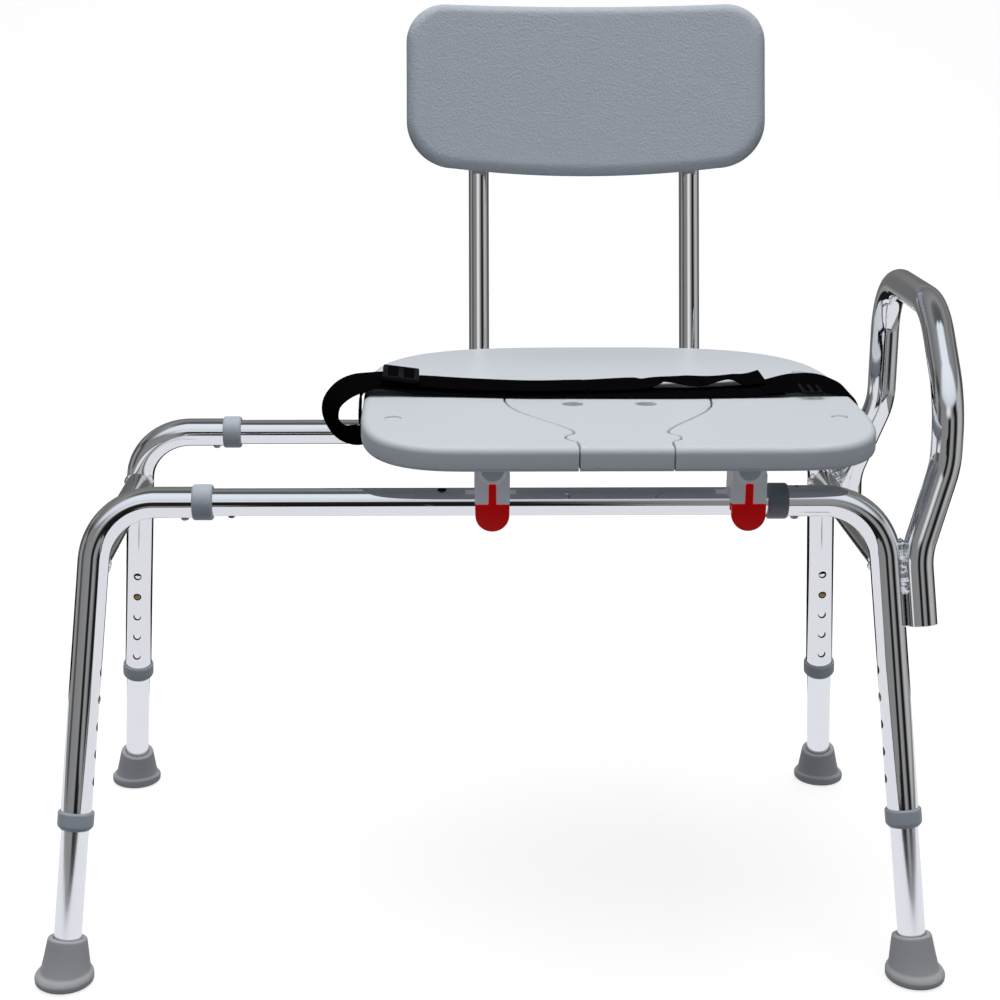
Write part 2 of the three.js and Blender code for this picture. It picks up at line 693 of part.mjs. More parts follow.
function glide() {
  const body = join(
    box(span(GLIDE_HALF_W), [-19, 17], [2.2, GLIDE_TOP]),
    // the lip down the rail's inner side
    box(span(GLIDE_HALF_W), [13.3, 17], [-7, 3]),
    box(span(GLIDE_HALF_W + 8), [-17, 19], [FLANGE_BOTTOM, GLIDE_TOP]),
  );
  // the round-bottomed recess in the outer face
  const recess = join(
    rod(vec(0, GLIDE_CUT_Y, RECESS.z), vec(0, RECESS.endY, RECESS.z), RECESS.radius, 14),
    box(span(RECESS.radius), [GLIDE_CUT_Y, RECESS.endY], [RECESS.z, FLANGE_BOTTOM]),
  );
  const chamfer = [
    [GLIDE_HALF_W + 0.1, 28],
    [GLIDE_HALF_W + 0.1, FLANGE_BOTTOM],
    [CORNER_X, FLANGE_BOTTOM],
    [CORNER_X, 38],
  ];
  return cut(
    body,
    rod(vec(-40, 0, 0), vec(40, 0, 0), INNER_OD / 2 + 0.5, 14),
    recess,
    // the lever's slot, the pocket of its hub and the seats of its trunnions
    box(span(SLOT_HALF_W), [GLIDE_CUT_Y, -14.1], [-1, PIVOT_Z]),
    pivotRod(SLOT_HALF_W, 3.9, 10),
    box(span(SLOT_HALF_W), [GLIDE_CUT_Y, PIVOT_Y], [PIVOT_Z - 1, PIVOT_Z + 3.4]),
    pivotRod(7.6, 2.3, 8),
    plateXZ(chamfer, GLIDE_CUT_Y, -14),
  );
}

// a paddle with a rounded lower edge, its stem, hub and trunnions
function lever() {
  const { halfW, top, straightEnd, bottom } = LEVER;
  const outline = [
    [halfW, top],
    [-halfW, top],
    ...arc(0, straightEnd, halfW, straightEnd - bottom, Math.PI, 2 * Math.PI, 8),
  ];
  return join(
    plateXZ(outline, -19.2, -14.4),
    box(span(HUB_HALF_W), [-18.8, -14.5], [0, PIVOT_Z]),
    pivotRod(HUB_HALF_W, 3.2, 10),
    pivotRod(7.1, 1.8, 8),
  );
}

for (const { name, xSign, ySign } of CORNERS) {
  const at = [SEAT_X + xSign * LATCH_DX, ySign * RAIL_Y, RAIL_Z];
  const onRail = (piece) => piece.rotate([0, 0, ySign > 0 ? 180 : 0]).translate(at);
  place(seatGroup, `${name}_glide`, onRail(glide()), GLIDE);
  place(seatGroup, `${name}_latch_lever`, onRail(lever()), RED);
}

// ---------------------------------------------------------------- backrest
const POST_LEAN = 0.268; // how far a post leans back for each mm of height
const POST_Y = 259; // post axis at the height of the seat's top
const POST_START_Y = 184;
const POST_TOP_Z = 836;
const POST_ID = POST_OD - 3;
const POST_BORE_SIDES = 8;
const POST_BEND_R = 30;
const POST_HOLE_R = 3.5;
const BACK_W = 388;
const BACK_H = 177.5;
const BACK_T = 20;
const BACK_SAG = 20; // depth of the backrest's curve over its width
const BACK_CORNER_R = 44;
const BACK_Z = 773.6; // height on the post axes that the panel's middle is set out from
const BACK_SAG_AT_POST = 6.6; // allowed for the curve bringing the panel forward at the posts
const BACK_POST_GAP = 0.4;

const backrest = addGroup(seatGroup, "backrest");
const postY = (z) => POST_Y + (z - SEAT_TOP) * POST_LEAN;

function post(x) {
  const path = new BentPath([
    [vec(x, POST_START_Y, POST_RUN_Z), 0],
    [vec(x, postY(POST_RUN_Z), POST_RUN_Z), POST_BEND_R],
    [vec(x, postY(POST_TOP_Z), POST_TOP_Z), 0],
  ]);
  const tube = tubeAlong(path, POST_OD, POST_ID, POST_SIDES, POST_BORE_SIDES);
  return cut(tube, postButtonHole(x, POST_HOLE_R));
}
for (const [side, xSign] of ENDS) {
  const x = BACK_X + xSign * POST_DX;
  const button = vec(x, POST_BUTTON_Y, POST_RUN_Z);
  place(backrest, `${side}_backrest_post`, post(x), TUBE);
  placeButton(backrest, `${side}_post_button`, POST_BUTTON_PROFILE, button, DOWN);
}

// an upright curved band trimmed to a rounded outline, about the middle of its front face
function backPanel() {
  const radius = (BACK_W * BACK_W) / 8 / BACK_SAG + BACK_SAG / 2;
  const reach = 1.05 * Math.asin(BACK_W / 2 / radius); // a little past the panel's sides
  const [right, left] = span(reach, Math.PI / 2);
  const rearR = radius + BACK_T;
  const band = [
    ...arc(0, -radius, radius, radius, left, right, 12),
    ...arc(0, -radius, rearR, rearR, right, left, 12),
  ];
  const halfW = BACK_W / 2;
  const halfH = BACK_H / 2;
  const corner = (xSign, zSign, quarter) => {
    const x = xSign * (halfW - BACK_CORNER_R);
    const z = zSign * (halfH - BACK_CORNER_R);
    const from = (quarter * Math.PI) / 2;
    return arc(x, z, BACK_CORNER_R, BACK_CORNER_R, from, from + Math.PI / 2, 5);
  };
  const outline = [
    ...corner(1, 1, 0),
    ...corner(-1, 1, 1),
    ...corner(-1, -1, 2),
    // the lower edge dips in the middle
    [-halfW / 3, -halfH - 5],
    [0, -halfH - 7],
    [halfW / 3, -halfH - 5],
    ...corner(1, -1, 3),
  ];
  return plateXY(band, -BACK_H, BACK_H).intersect(plateXZ(outline, -200, 200));
}

// the panel leans with the posts, its back face against them
const leanAngle = Math.atan(POST_LEAN);
const backOffset = POST_OD / 2 + BACK_T - BACK_SAG_AT_POST + BACK_POST_GAP;
const backOrigin = vec(
  BACK_X,
  postY(BACK_Z) - backOffset * Math.cos(leanAngle),
  BACK_Z + backOffset * Math.sin(leanAngle),
);
const leaningPanel = backPanel()
  .rotate([(-leanAngle * 180) / Math.PI, 0, 0])
  .translate([backOrigin.x, backOrigin.y, backOrigin.z]);
place(backrest, "backrest_panel", leaningPanel, BACK, backOrigin);

// ---------------------------------------------------------------- seat belt
const STRAP_T = 3;
// middle lines of the end straps, [x, z] from under the seat round its side to the top
const LEFT_STRAP = [
  [-50, 478], [-104, 476], [-125, 467], [-143, 462], [-157, 468], [-163, 483], [-161, 500],
  [-151, 511], [-136, 516.5], [-118, 517.5], [-98, 513], [-80, 508.5], [-62, 508],
];
// the same on the right, from the top round to under the seat
const RIGHT_STRAP = [
  [254, 508], [330, 508.2], [350, 508.5], [359, 503], [361.5, 494], [359.5, 483],
  [350, 478], [296, 478],
];

// a strap of even thickness along a path in XZ, with its width along Y
function strap(path, y0, y1) {
  const upper = [];
  const lower = [];
  path.forEach(([x, z], i) => {
    const [beforeX, beforeZ] = path[Math.max(0, i - 1)];
    const [afterX, afterZ] = path[Math.min(path.length - 1, i + 1)];
    const along = new THREE.Vector2(afterX - beforeX, afterZ - beforeZ)
      .normalize()
      .multiplyScalar(STRAP_T / 2);
    upper.push([x - along.y, z + along.x]);
    lower.push([x + along.y, z - along.x]);
  });
  return plateXZ([...upper, ...lower.reverse()], y0, y1);
}

const belt = addGroup(seatGroup, "seat_belt");
const lapStrap = box([-59, 251], [-36, 40], [SEAT_TOP + 1, SEAT_TOP + 6]);
place(belt, "belt_left_strap", strap(LEFT_STRAP, -24, 26), WEB);
place(belt, "belt_lap_strap", lapStrap, WEB);
place(belt, "belt_right_strap", strap(RIGHT_STRAP, -14, 36), WEB);
place(belt, "belt_slider_left", box([-100, -66], [-10, 52], [516.4, 520.4]), BLACK);
place(belt, "belt_ring_right", box([314, 330], [-22, 34], [511, 515]), BLACK);

export default group;
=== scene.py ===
import math

import bmesh
import bpy
import numpy as np
from mathutils import Matrix, Vector


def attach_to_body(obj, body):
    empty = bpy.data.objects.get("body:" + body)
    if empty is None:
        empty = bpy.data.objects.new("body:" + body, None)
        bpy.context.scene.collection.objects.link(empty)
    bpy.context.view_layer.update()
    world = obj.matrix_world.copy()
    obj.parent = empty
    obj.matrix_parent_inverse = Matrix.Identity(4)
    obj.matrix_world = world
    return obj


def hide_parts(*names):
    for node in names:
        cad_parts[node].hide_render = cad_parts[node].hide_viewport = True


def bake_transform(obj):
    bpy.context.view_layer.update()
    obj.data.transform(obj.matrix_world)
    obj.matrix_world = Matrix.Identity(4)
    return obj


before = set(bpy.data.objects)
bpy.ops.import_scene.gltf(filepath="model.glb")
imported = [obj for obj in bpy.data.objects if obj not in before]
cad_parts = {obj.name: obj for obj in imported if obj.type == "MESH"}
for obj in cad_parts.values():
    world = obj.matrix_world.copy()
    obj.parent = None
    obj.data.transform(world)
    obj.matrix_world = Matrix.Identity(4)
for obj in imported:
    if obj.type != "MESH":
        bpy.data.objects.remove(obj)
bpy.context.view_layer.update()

# ------------------------------------------------------------------ dimensions
MM = 0.001
SHIFT = Vector((-0.004747, -0.052082, 0.0))
SIGN = {"left": -1, "right": 1, "front": -1, "rear": 1}
SIDES = ("left", "right")
ROWS = ("front", "rear")
CORNERS = [(side, row) for side in SIDES for row in ROWS]

# tubes: outside and inside diameters
OUTER, OUTER_BORE = 28.6, 26.2
INNER, INNER_BORE = 25.4, 22.6
CROSS_OD, CROSS_BORE = 25.4, 25.4 - 3.2
ARM_OD, ARM_BORE = 28.6, 25.2
POST_OD, POST_BORE = 22.2, 22.2 - 3

# end frames: the legs lean in along X by LEAN and along Y by SPLAY per millimetre of height
RAIL_Y, RAIL_Z, RAIL_END_X = 137.0, 434.4, 294.0
FOOT_X, FOOT_Y, LEAN = 393.9, 227.0, 0.0831
SPLAY = (FOOT_Y - RAIL_Y) / RAIL_Z
LEG_BEND = 57.0
RAIL_COLLAR_X, RAIL_COLLAR_L, RAIL_COLLAR_R = 261.5, 18.5, 16.5
LEG_COLLAR_Z, LEG_COLLAR_L, LEG_COLLAR_R = 148.0, 17.0, 16.7
COLLAR_PLAY = 0.3
RAIL_BUTTON_X = 278.5
HOLE_PITCH, HOLE_COUNT, HOLE_R = 25.4, 5, 4.3
HOLE_TOP = {"front": 283.1, "rear": 271.4}
CROSS_Z = 378.0
ARM_DX = OUTER / 2 + ARM_OD / 2 + 0.3
ARM_END = {"front": 322.0, "rear": 347.0}

# seat
SEAT_X, SEAT_W, SEAT_FRONT, SEAT_BACK = 117.5, 236.5, 217.0, 243.0
SEAT_TOP, SEAT_T = 504.5, 22.0
SEAT_LOW = SEAT_TOP - SEAT_T
LEDGE = SEAT_LOW + 5
CAP_DX, CAP_Y = 206.0, 100.0
LATCH_DX = 116.0
OUTLINE_GAP = 5.0

# backrest: each post runs back under the seat at POST_RUN_Z, then rises with POST_LEAN
PLUG_X = BACK_X = SEAT_X - 1.5
POST_DX, POST_LEAN, POST_Y, POST_RUN_Z, POST_TOP = 116.0, 0.268, 259.0, 464.0, 836.0
POST_BUTTON_Y = 200
BACK_W, BACK_H, BACK_T, BACK_SAG, BACK_Z = 388.0, 177.5, 20.0, 20.0, 773.6


def vec(*values):
    return np.array(values, float)


UP, DOWN = vec(0, 0, 1), vec(0, 0, -1)


def unit(vector):
    vector = np.asarray(vector, float)
    return vector / np.linalg.norm(vector)


def leg_point(side, row, z):
    """The point on a leg's centre line at height z."""
    return vec(SIGN[side] * (FOOT_X - LEAN * z), SIGN[row] * (RAIL_Y + SPLAY * (RAIL_Z - z)), z)


def leg_up(side, row):
    return unit(leg_point(side, row, 400) - leg_point(side, row, 0))


RISE = leg_up("right", "rear")[2]


def hole_way(side, row):
    """The way a leg's holes face: across to the other side at the front, forward at the rear."""
    way = vec(-SIGN[side], 0, 0) if row == "front" else vec(0, -1, 0)
    up = leg_up(side, row)
    return unit(way - np.dot(way, up) * up)


def rail_point(row, x):
    return vec(x, SIGN[row] * RAIL_Y, RAIL_Z)


def beside_leg(row, z):
    """The point on the arm rail's centre line where it lies along a right leg."""
    return leg_point("right", row, z) + vec(ARM_DX, 0, 0)


# ------------------------------------------------------------------ shader nodes
def node(tree, kind, inputs=(), **settings):
    """Adds a node; each input is given a value or the socket that feeds it."""
    new = tree.nodes.new(kind)
    for name, value in settings.items():
        setattr(new, name, value)
    for key, value in dict(inputs).items():
        if isinstance(value, bpy.types.NodeSocket):
            tree.links.new(value, new.inputs[key])
        else:
            new.inputs[key].default_value = value
    return new


def calc(tree, operation, *operands):
    return node(tree, "ShaderNodeMath", enumerate(operands), operation=operation).outputs[0]


def map_range(tree, value, low, high, to_low=0.0, to_high=1.0, interpolation="LINEAR"):
    inputs = enumerate((value, low, high, to_low, to_high))
    ranged = node(tree, "ShaderNodeMapRange", inputs, interpolation_type=interpolation)
    return ranged.outputs[0]


# ------------------------------------------------------------------ materials
def plain(name, color, roughness, metallic=0.0, specular=0.5, glow=None):
    """A principled material; glow is an emission (color, strength)."""
    material = bpy.data.materials.new(name)
    material.use_nodes = True
    inputs = material.node_tree.nodes["Principled BSDF"].inputs
    inputs["Base Color"].default_value = (*color, 1)
    inputs["Roughness"].default_value = roughness
    inputs["Metallic"].default_value = metallic
    inputs["Specular IOR Level"].default_value = specular
    if glow:
        inputs["Emission Color"].default_value = (*glow[0], 1)
        inputs["Emission Strength"].default_value = glow[1]
    material.diffuse_color = (*color, 1)
    return material


def bump(material, height, strength, distance):
    tree = material.node_tree
    inputs = {"Strength": strength, "Distance": distance, "Height": height}
    normal = node(tree, "ShaderNodeBump", inputs).outputs[0]
    tree.links.new(normal, tree.nodes["Principled BSDF"].inputs["Normal"])


def grain(material, scale, distance, strength, detail=2.0):
    """Bumps a material with noise in object space."""
    tree = material.node_tree
    place = node(tree, "ShaderNodeTexCoord").outputs["Object"]
    inputs = {"Vector": place, "Scale": scale, "Detail": detail}
    noise = node(tree, "ShaderNodeTexNoise", inputs)
    bump(material, noise.outputs[0], strength, distance)
    return material


def pebbled(material):
    """Bumps a material with rounded cells and finer noise added together."""
    tree = material.node_tree
    place = node(tree, "ShaderNodeTexCoord").outputs["Object"]
    cells = node(
        tree, "ShaderNodeTexVoronoi", {"Vector": place, "Scale": 520.0}, feature="SMOOTH_F1"
    )
    noise = node(
        tree, "ShaderNodeTexNoise", {"Vector": place, "Scale": 330.0, "Detail": 3.0}
    )
    height = calc(tree, "ADD", cells.outputs[0], noise.outputs[0])
    bump(material, height, strength=0.8, distance=0.0007)
    return material


def woven(material, rib_pitch=0.0017, warp_pitch=0.0021, rib_slant=700.0):
    """Ribs and threads from the strap's UVs, which run across (u) and along (v) in metres."""
    tree = material.node_tree
    place = node(tree, "ShaderNodeUVMap").outputs[0]
    axes = node(tree, "ShaderNodeSeparateXYZ", {0: place}).outputs
    along = calc(tree, "MULTIPLY", axes[1], 2 * math.pi / rib_pitch)
    ribs = calc(tree, "SINE", calc(tree, "MULTIPLY_ADD", axes[0], rib_slant, along))
    warp = calc(tree, "SINE", calc(tree, "MULTIPLY", axes[0], 2 * math.pi / warp_pitch))
    weave = calc(tree, "MULTIPLY", ribs, warp)
    bump(material, weave, strength=0.75, distance=0.0005)
    roughness = map_range(tree, weave, -1.0, 1.0, to_low=0.5, to_high=0.8)
    tree.links.new(roughness, tree.nodes["Principled BSDF"].inputs["Roughness"])
    return material


CHROME = plain("bright_tube", (0.83, 0.84, 0.86), roughness=0.06, metallic=1.0)
grain(CHROME, scale=38.0, distance=0.00004, strength=0.35)
CHROME_SOFT = plain("bright_extension", (0.86, 0.87, 0.90), roughness=0.12, metallic=1.0)
grain(CHROME_SOFT, scale=60.0, distance=0.00004, strength=0.4)
WELD = plain("weld_bead", (0.74, 0.75, 0.78), roughness=0.22, metallic=1.0)
grain(WELD, scale=260.0, distance=0.0012, strength=0.7, detail=3.0)
INSIDE = plain("tube_inside", (0.10, 0.10, 0.105), roughness=0.5, metallic=0.7)
SEAT = plain("seat_plastic", (0.625, 0.66, 0.685), roughness=0.42)
grain(SEAT, scale=900.0, distance=0.00018, strength=0.35)
# backrest: a darker copy of the seat's grey plastic as painted shade, with a pebbled bump
BACK = pebbled(plain("backrest_plastic_painted_shade", (0.465, 0.505, 0.55), roughness=0.46, specular=0.4))
COLLAR = plain("collar_plastic", (0.47, 0.51, 0.55), roughness=0.42, specular=0.4)
grain(COLLAR, scale=1100.0, distance=0.0002, strength=0.4)
# the collar plastic made darker as painted shade, for the right front rail collar
COLLAR_PAINTED_SHADE = plain("collar_plastic_painted_shade", (0.25, 0.275, 0.31), roughness=0.40, specular=0.4)
grain(COLLAR_PAINTED_SHADE, scale=1100.0, distance=0.0002, strength=0.4)
FOOT = plain("foot_rubber", (0.50, 0.505, 0.51), roughness=0.62, specular=0.3)
grain(FOOT, scale=900.0, distance=0.0003, strength=0.5)
# glide plastic: its faint glow is painted light, standing in for bounce light from the floor under the seat
GLIDE = plain(
    "glide_plastic_painted_glow",
    (0.88, 0.90, 0.91),
    roughness=0.4,
    specular=0.4,
    glow=((0.92, 0.94, 0.97), 0.065),
)
grain(GLIDE, scale=1200.0, distance=0.00015, strength=0.35)
# boss: the glide's plastic made darker as painted shade
BOSS_PAINTED_SHADE = plain("boss_plastic", (0.74, 0.75, 0.75), roughness=0.42, specular=0.4)
# red lever plastic: its red glow is painted light that brightens the lever
RED = plain(
    "lever_plastic",
    (0.88, 0.004, 0.005),
    roughness=0.38,
    specular=0.10,
    glow=((1.0, 0.004, 0.004), 0.12),
)
grain(RED, scale=700.0, distance=0.0002, strength=0.3)
BRASS = plain("button_brass", (0.24, 0.17, 0.075), roughness=0.3, metallic=1.0)
STEEL = plain("button_steel", (0.22, 0.20, 0.19), roughness=0.35, metallic=1.0)
BLACK = plain("black_plastic", (0.004, 0.004, 0.005), roughness=0.5, specular=0.04)
RING = plain("ring_plastic", (0.006, 0.006, 0.007), roughness=0.5, specular=0.05)
CHROME_DULL = plain("dull_tube", (0.62, 0.63, 0.61), roughness=0.20, metallic=1.0)
grain(CHROME_DULL, scale=60.0, distance=0.00004, strength=0.4)
RIVET = plain("rivet_steel", (0.12, 0.12, 0.125), roughness=0.35, metallic=1.0)
WEB = woven(plain("strap_webbing", (0.003, 0.003, 0.0035), roughness=0.75, specular=0.0))


# ------------------------------------------------------------------ objects
def smooth(ob, sharp):
    """Smooth shading with edges sharper than an angle in degrees kept sharp."""
    mesh = ob.data
    mesh.polygons.foreach_set("use_smooth", [True] * len(mesh.polygons))
    mesh.set_sharp_from_angle(angle=math.radians(sharp))
    mesh.update()


def make(name, verts, faces, material, sharp=35.0, uv=None):
    """A mesh object from points in millimetres."""
    mesh = bpy.data.meshes.new(name)
    points = (np.asarray(verts, float) * MM).tolist()
    mesh.from_pydata(points, [], [list(map(int, face)) for face in faces])
    mesh.update()
    ob = bpy.data.objects.new(name, mesh)
    bpy.context.scene.collection.objects.link(ob)
    mesh.materials.append(material)
    if uv is not None:
        layer = mesh.uv_layers.new(name="UVMap")
        for loop in mesh.loops:
            layer.data[loop.index].uv = uv[loop.vertex_index]
    smooth(ob, sharp)
    return ob


def fix_normals(ob, sharp=None):
    """Turns all faces outward, and marks the sharp edges again if an angle is given."""
    bm = bmesh.new()
    bm.from_mesh(ob.data)
    bmesh.ops.recalc_face_normals(bm, faces=bm.faces)
    bm.to_mesh(ob.data)
    bm.free()
    ob.data.update()
    if sharp is not None:
        smooth(ob, sharp)


def move_to_cad(ob):
    ob.data.transform(Matrix.Translation(SHIFT))
    ob.data.update()


def attach(ob, body):
    """Rides ob on a body; an object named <node>_look also replaces that CAD node."""
    move_to_cad(ob)
    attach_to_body(ob, body)
    if ob.name.endswith("_look"):
        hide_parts(ob.name.removesuffix("_look"))


def pose(ob, place, turn):
    """Turns a mesh about the origin, then moves the origin to place (millimetres)."""
    ob.data.transform(Matrix.Translation(Vector(place * MM)) @ turn)
    ob.data.update()


def bake(ob):
    """Applies ob's modifiers to its mesh."""
    depsgraph = bpy.context.evaluated_depsgraph_get()
    mesh = bpy.data.meshes.new_from_object(ob.evaluated_get(depsgraph))
    old = ob.data
    ob.modifiers.clear()
    ob.data = mesh
    bpy.data.meshes.remove(old)


def boolean(ob, *cutters, op="DIFFERENCE"):
    """Applies the cutters in turn and deletes them."""
    for cutter in cutters:
        modifier = ob.modifiers.new("boolean", "BOOLEAN")
        modifier.operation = op
        modifier.object = cutter
        modifier.solver = "EXACT"
    bpy.context.view_layer.update()
    bake(ob)
    for cutter in cutters:
        mesh = cutter.data
        bpy.data.objects.remove(cutter)
        bpy.data.meshes.remove(mesh)


def bevel(ob, width, segments, angle=30.0):
    modifier = ob.modifiers.new("bevel", "BEVEL")
    modifier.width = width * MM
    modifier.segments = segments
    modifier.limit_method = "ANGLE"
    modifier.angle_limit = math.radians(angle)
    modifier.use_clamp_overlap = True
    bpy.context.view_layer.update()
    bake(ob)


# ------------------------------------------------------------------ solids
def skin(rings, closed=False):
    """Faces between neighbouring rings of vertex numbers; a ring of one number is a pole."""
    faces = []
    following = rings[1:] + rings[:1] if closed else rings[1:]
    for ring, after in zip(rings, following):
        sides = max(len(ring), len(after))
        for i in range(sides):
            j = (i + 1) % sides
            if len(ring) == 1:
                faces.append((ring[0], after[j], after[i]))
            elif len(after) == 1:
                faces.append((ring[i], ring[j], after[0]))
            else:
                faces.append((ring[i], ring[j], after[j], after[i]))
    return faces


def bands(count, sides, closed=False):
    """Faces between rings of equal size whose vertices are numbered in order."""
    return skin([range(k * sides, (k + 1) * sides) for k in range(count)], closed)


def box(name, low, high, material=BLACK):
    x0, y0, z0 = low
    x1, y1, z1 = high
    verts = [(x, y, z) for z in (z0, z1) for x, y in ((x0, y0), (x1, y0), (x1, y1), (x0, y1))]
    faces = [(3, 2, 1, 0), (4, 5, 6, 7), (0, 1, 5, 4), (1, 2, 6, 5), (2, 3, 7, 6), (3, 0, 4, 7)]
    return make(name, verts, faces, material)


def basis(axis):
    axis = unit(axis)
    helper = UP if abs(axis[2]) < 0.9 else vec(1, 0, 0)
    first = unit(np.cross(helper, axis))
    return first, np.cross(axis, first), axis


def turned(name, profile, base, axis, material, sides):
    """A profile of (radius, height) turned about the line from base along axis.

    A profile that starts and ends off the axis is closed into a ring.
    """
    first, second, axis = basis(axis)
    base = np.asarray(base, float)
    verts, rings = [], []
    for radius, height in profile:
        if radius < 1e-6:
            rings.append([len(verts)])
            verts.append(base + axis * height)
            continue
        rings.append(list(range(len(verts), len(verts) + sides)))
        for i in range(sides):
            angle = 2 * math.pi * i / sides
            out = first * (radius * math.cos(angle)) + second * (radius * math.sin(angle))
            verts.append(base + out + axis * height)
    closed = profile[0][0] > 1e-6 and profile[-1][0] > 1e-6
    ob = make(name, verts, skin(rings, closed), material)
    fix_normals(ob, 35.0)
    return ob


def cylinder(name, start, end, radius, material=BLACK, sides=48):
    length = float(np.linalg.norm(end - start))
    profile = [(0, 0), (radius, 0), (radius, length), (0, length)]
    return turned(name, profile, start, end - start, material, sides)


def hole_cutter(centre, way, near, far, radius, material=INSIDE):
    """A round cutter along way, between two distances from centre."""
    return cylinder("cutter", centre + way * near, centre + way * far, radius, material, 28)


def rounded(corners, steps=4):
    """Rounds the inner corners of an open profile; corners are (radius, height, rounding)."""
    points = [np.asarray(corner[:2], float) for corner in corners]
    out = [tuple(points[0])]
    for i in range(1, len(points) - 1):
        corner = points[i]
        back, ahead = points[i - 1] - corner, points[i + 1] - corner
        back_length, ahead_length = np.linalg.norm(back), np.linalg.norm(ahead)
        reach = min(corners[i][2], back_length * 0.49, ahead_length * 0.49)
        if reach < 1e-3:
            out.append(tuple(corner))
            continue
        back = corner + back / back_length * reach
        ahead = corner + ahead / ahead_length * reach
        for k in range(steps + 1):
            t = k / steps
            out.append(tuple((1 - t) ** 2 * back + 2 * t * (1 - t) * corner + t * t * ahead))
    out.append(tuple(points[-1]))
    return out


def prism(name, sections):
    """A cutter through sections of (outline, z) with equal numbers of points."""
    count = len(sections[0][0])
    verts = np.concatenate([np.column_stack([line, np.full(count, z)]) for line, z in sections])
    faces = [tuple(range(count - 1, -1, -1))]
    faces += bands(len(sections), count)
    faces.append(tuple((len(sections) - 1) * count + i for i in range(count)))
    ob = make(name, verts, faces, BLACK)
    fix_normals(ob)
    return ob


def slab(name, outline, low, high, top_round, low_round, material, centre, steps, insets, shape=None):
    """A flat body with rounded edges over a counter-clockwise outline.

    steps divide each rounded edge, insets divide the flat faces towards centre, and shape
    reworks the finished points.
    """
    along = np.roll(outline, -1, 0) - np.roll(outline, 1, 0)
    along /= np.linalg.norm(along, axis=1)[:, None]
    outward = np.stack([along[:, 1], -along[:, 0]], 1)
    count = len(outline)
    angles = [math.pi / 2 * k / steps for k in range(steps + 1)]
    levels = [(low_round * (1 - math.sin(a)), low + low_round * (1 - math.cos(a))) for a in angles]
    levels += [(top_round * (1 - math.cos(a)), high - top_round * (1 - math.sin(a))) for a in angles]

    def flat_rings(inset, z):
        edge = outline - outward * inset
        return [
            np.column_stack([edge + (centre - edge) * (j / insets), np.full(count, z)])
            for j in range(1, insets)
        ]

    centre = np.asarray(centre, float)
    rings = flat_rings(levels[0][0], low)[::-1]
    rings += [np.column_stack([outline - outward * d, np.full(count, z)]) for d, z in levels]
    rings += flat_rings(levels[-1][0], high)
    verts = np.concatenate(rings + [np.array([[*centre, low], [*centre, high]])])
    faces = bands(len(rings), count)
    low_pole, high_pole = len(verts) - 2, len(verts) - 1
    last = (len(rings) - 1) * count
    for i in range(count):
        j = (i + 1) % count
        faces.append((low_pole, j, i))
        faces.append((last + i, last + j, high_pole))
    if shape is not None:
        verts = shape(verts)
    ob = make(name, verts, faces, material, 50.0)
    fix_normals(ob, 50.0)
    return ob


# ------------------------------------------------------------------ tubes along paths
def split_long(points, tangents, longest):
    """Divides the steps of a path so that none is longer than longest."""
    out_points, out_tangents = [points[0]], [tangents[0]]
    for i in range(1, len(points)):
        step, turn = points[i] - points[i - 1], tangents[i] - tangents[i - 1]
        parts = max(1, int(math.ceil(float(np.linalg.norm(step)) / longest)))
        for j in range(1, parts + 1):
            out_points.append(points[i - 1] + step * j / parts)
            out_tangents.append(unit(tangents[i - 1] + turn * j / parts))
    return np.array(out_points), np.array(out_tangents)


def straight(start, end, tangent, longest):
    return split_long(np.array([start, end]), np.array([tangent, tangent]), longest)


def bent(corners, longest, step=0.035):
    """A path of straight runs joined by circular bends.

    Corners are (point, bend radius), step is the largest turn in radians between bend points.
    """
    places = [np.asarray(corner[0], float) for corner in corners]
    runs = [unit(after - place) for place, after in zip(places, places[1:])]
    points, tangents = [places[0]], [runs[0]]
    for i in range(1, len(corners) - 1):
        radius = corners[i][1]
        before, after = runs[i - 1], runs[i]
        turn = math.acos(float(np.dot(before, after)))
        start = places[i] - before * (radius * math.tan(turn / 2))
        inward = unit(np.cross(unit(np.cross(before, after)), before))
        centre = start + inward * radius
        parts = max(3, int(math.ceil(turn / step)))
        for j in range(parts + 1):
            angle = turn * j / parts
            cos, sin = math.cos(angle), math.sin(angle)
            points.append(centre - inward * radius * cos + before * radius * sin)
            tangents.append(before * cos + inward * sin)
    points.append(places[-1])
    tangents.append(runs[-1])
    return split_long(np.array(points), np.array(tangents), longest)


def tube(name, path, od, bore, material, sides, lip=0.5):
    """A hollow tube along a path, with the outer edges of its ends broken by lip."""
    points, tangents = path
    frames = [basis(tangents[0])[0]]
    for tangent in tangents[1:]:
        frames.append(unit(frames[-1] - np.dot(frames[-1], tangent) * tangent))
    angles = np.linspace(0, 2 * math.pi, sides, endpoint=False)
    cos, sin = np.cos(angles)[:, None], np.sin(angles)[:, None]

    def ring(i, radius, slide=0.0):
        other = np.cross(tangents[i], frames[i])
        return points[i] + tangents[i] * slide + radius * (cos * frames[i] + sin * other)

    outside = od / 2
    last = len(points) - 1
    rings = [ring(0, outside - lip), ring(0, outside, lip)]
    rings += [ring(i, outside) for i in range(1, last)]
    rings += [ring(last, outside, -lip), ring(last, outside - lip)]
    rings += [ring(i, bore / 2) for i in range(last, -1, -1)]
    faces = bands(len(rings), sides, closed=True)
    ob = make(name, np.concatenate(rings), faces, material, 30.0)
    fix_normals(ob, 30.0)
    return ob


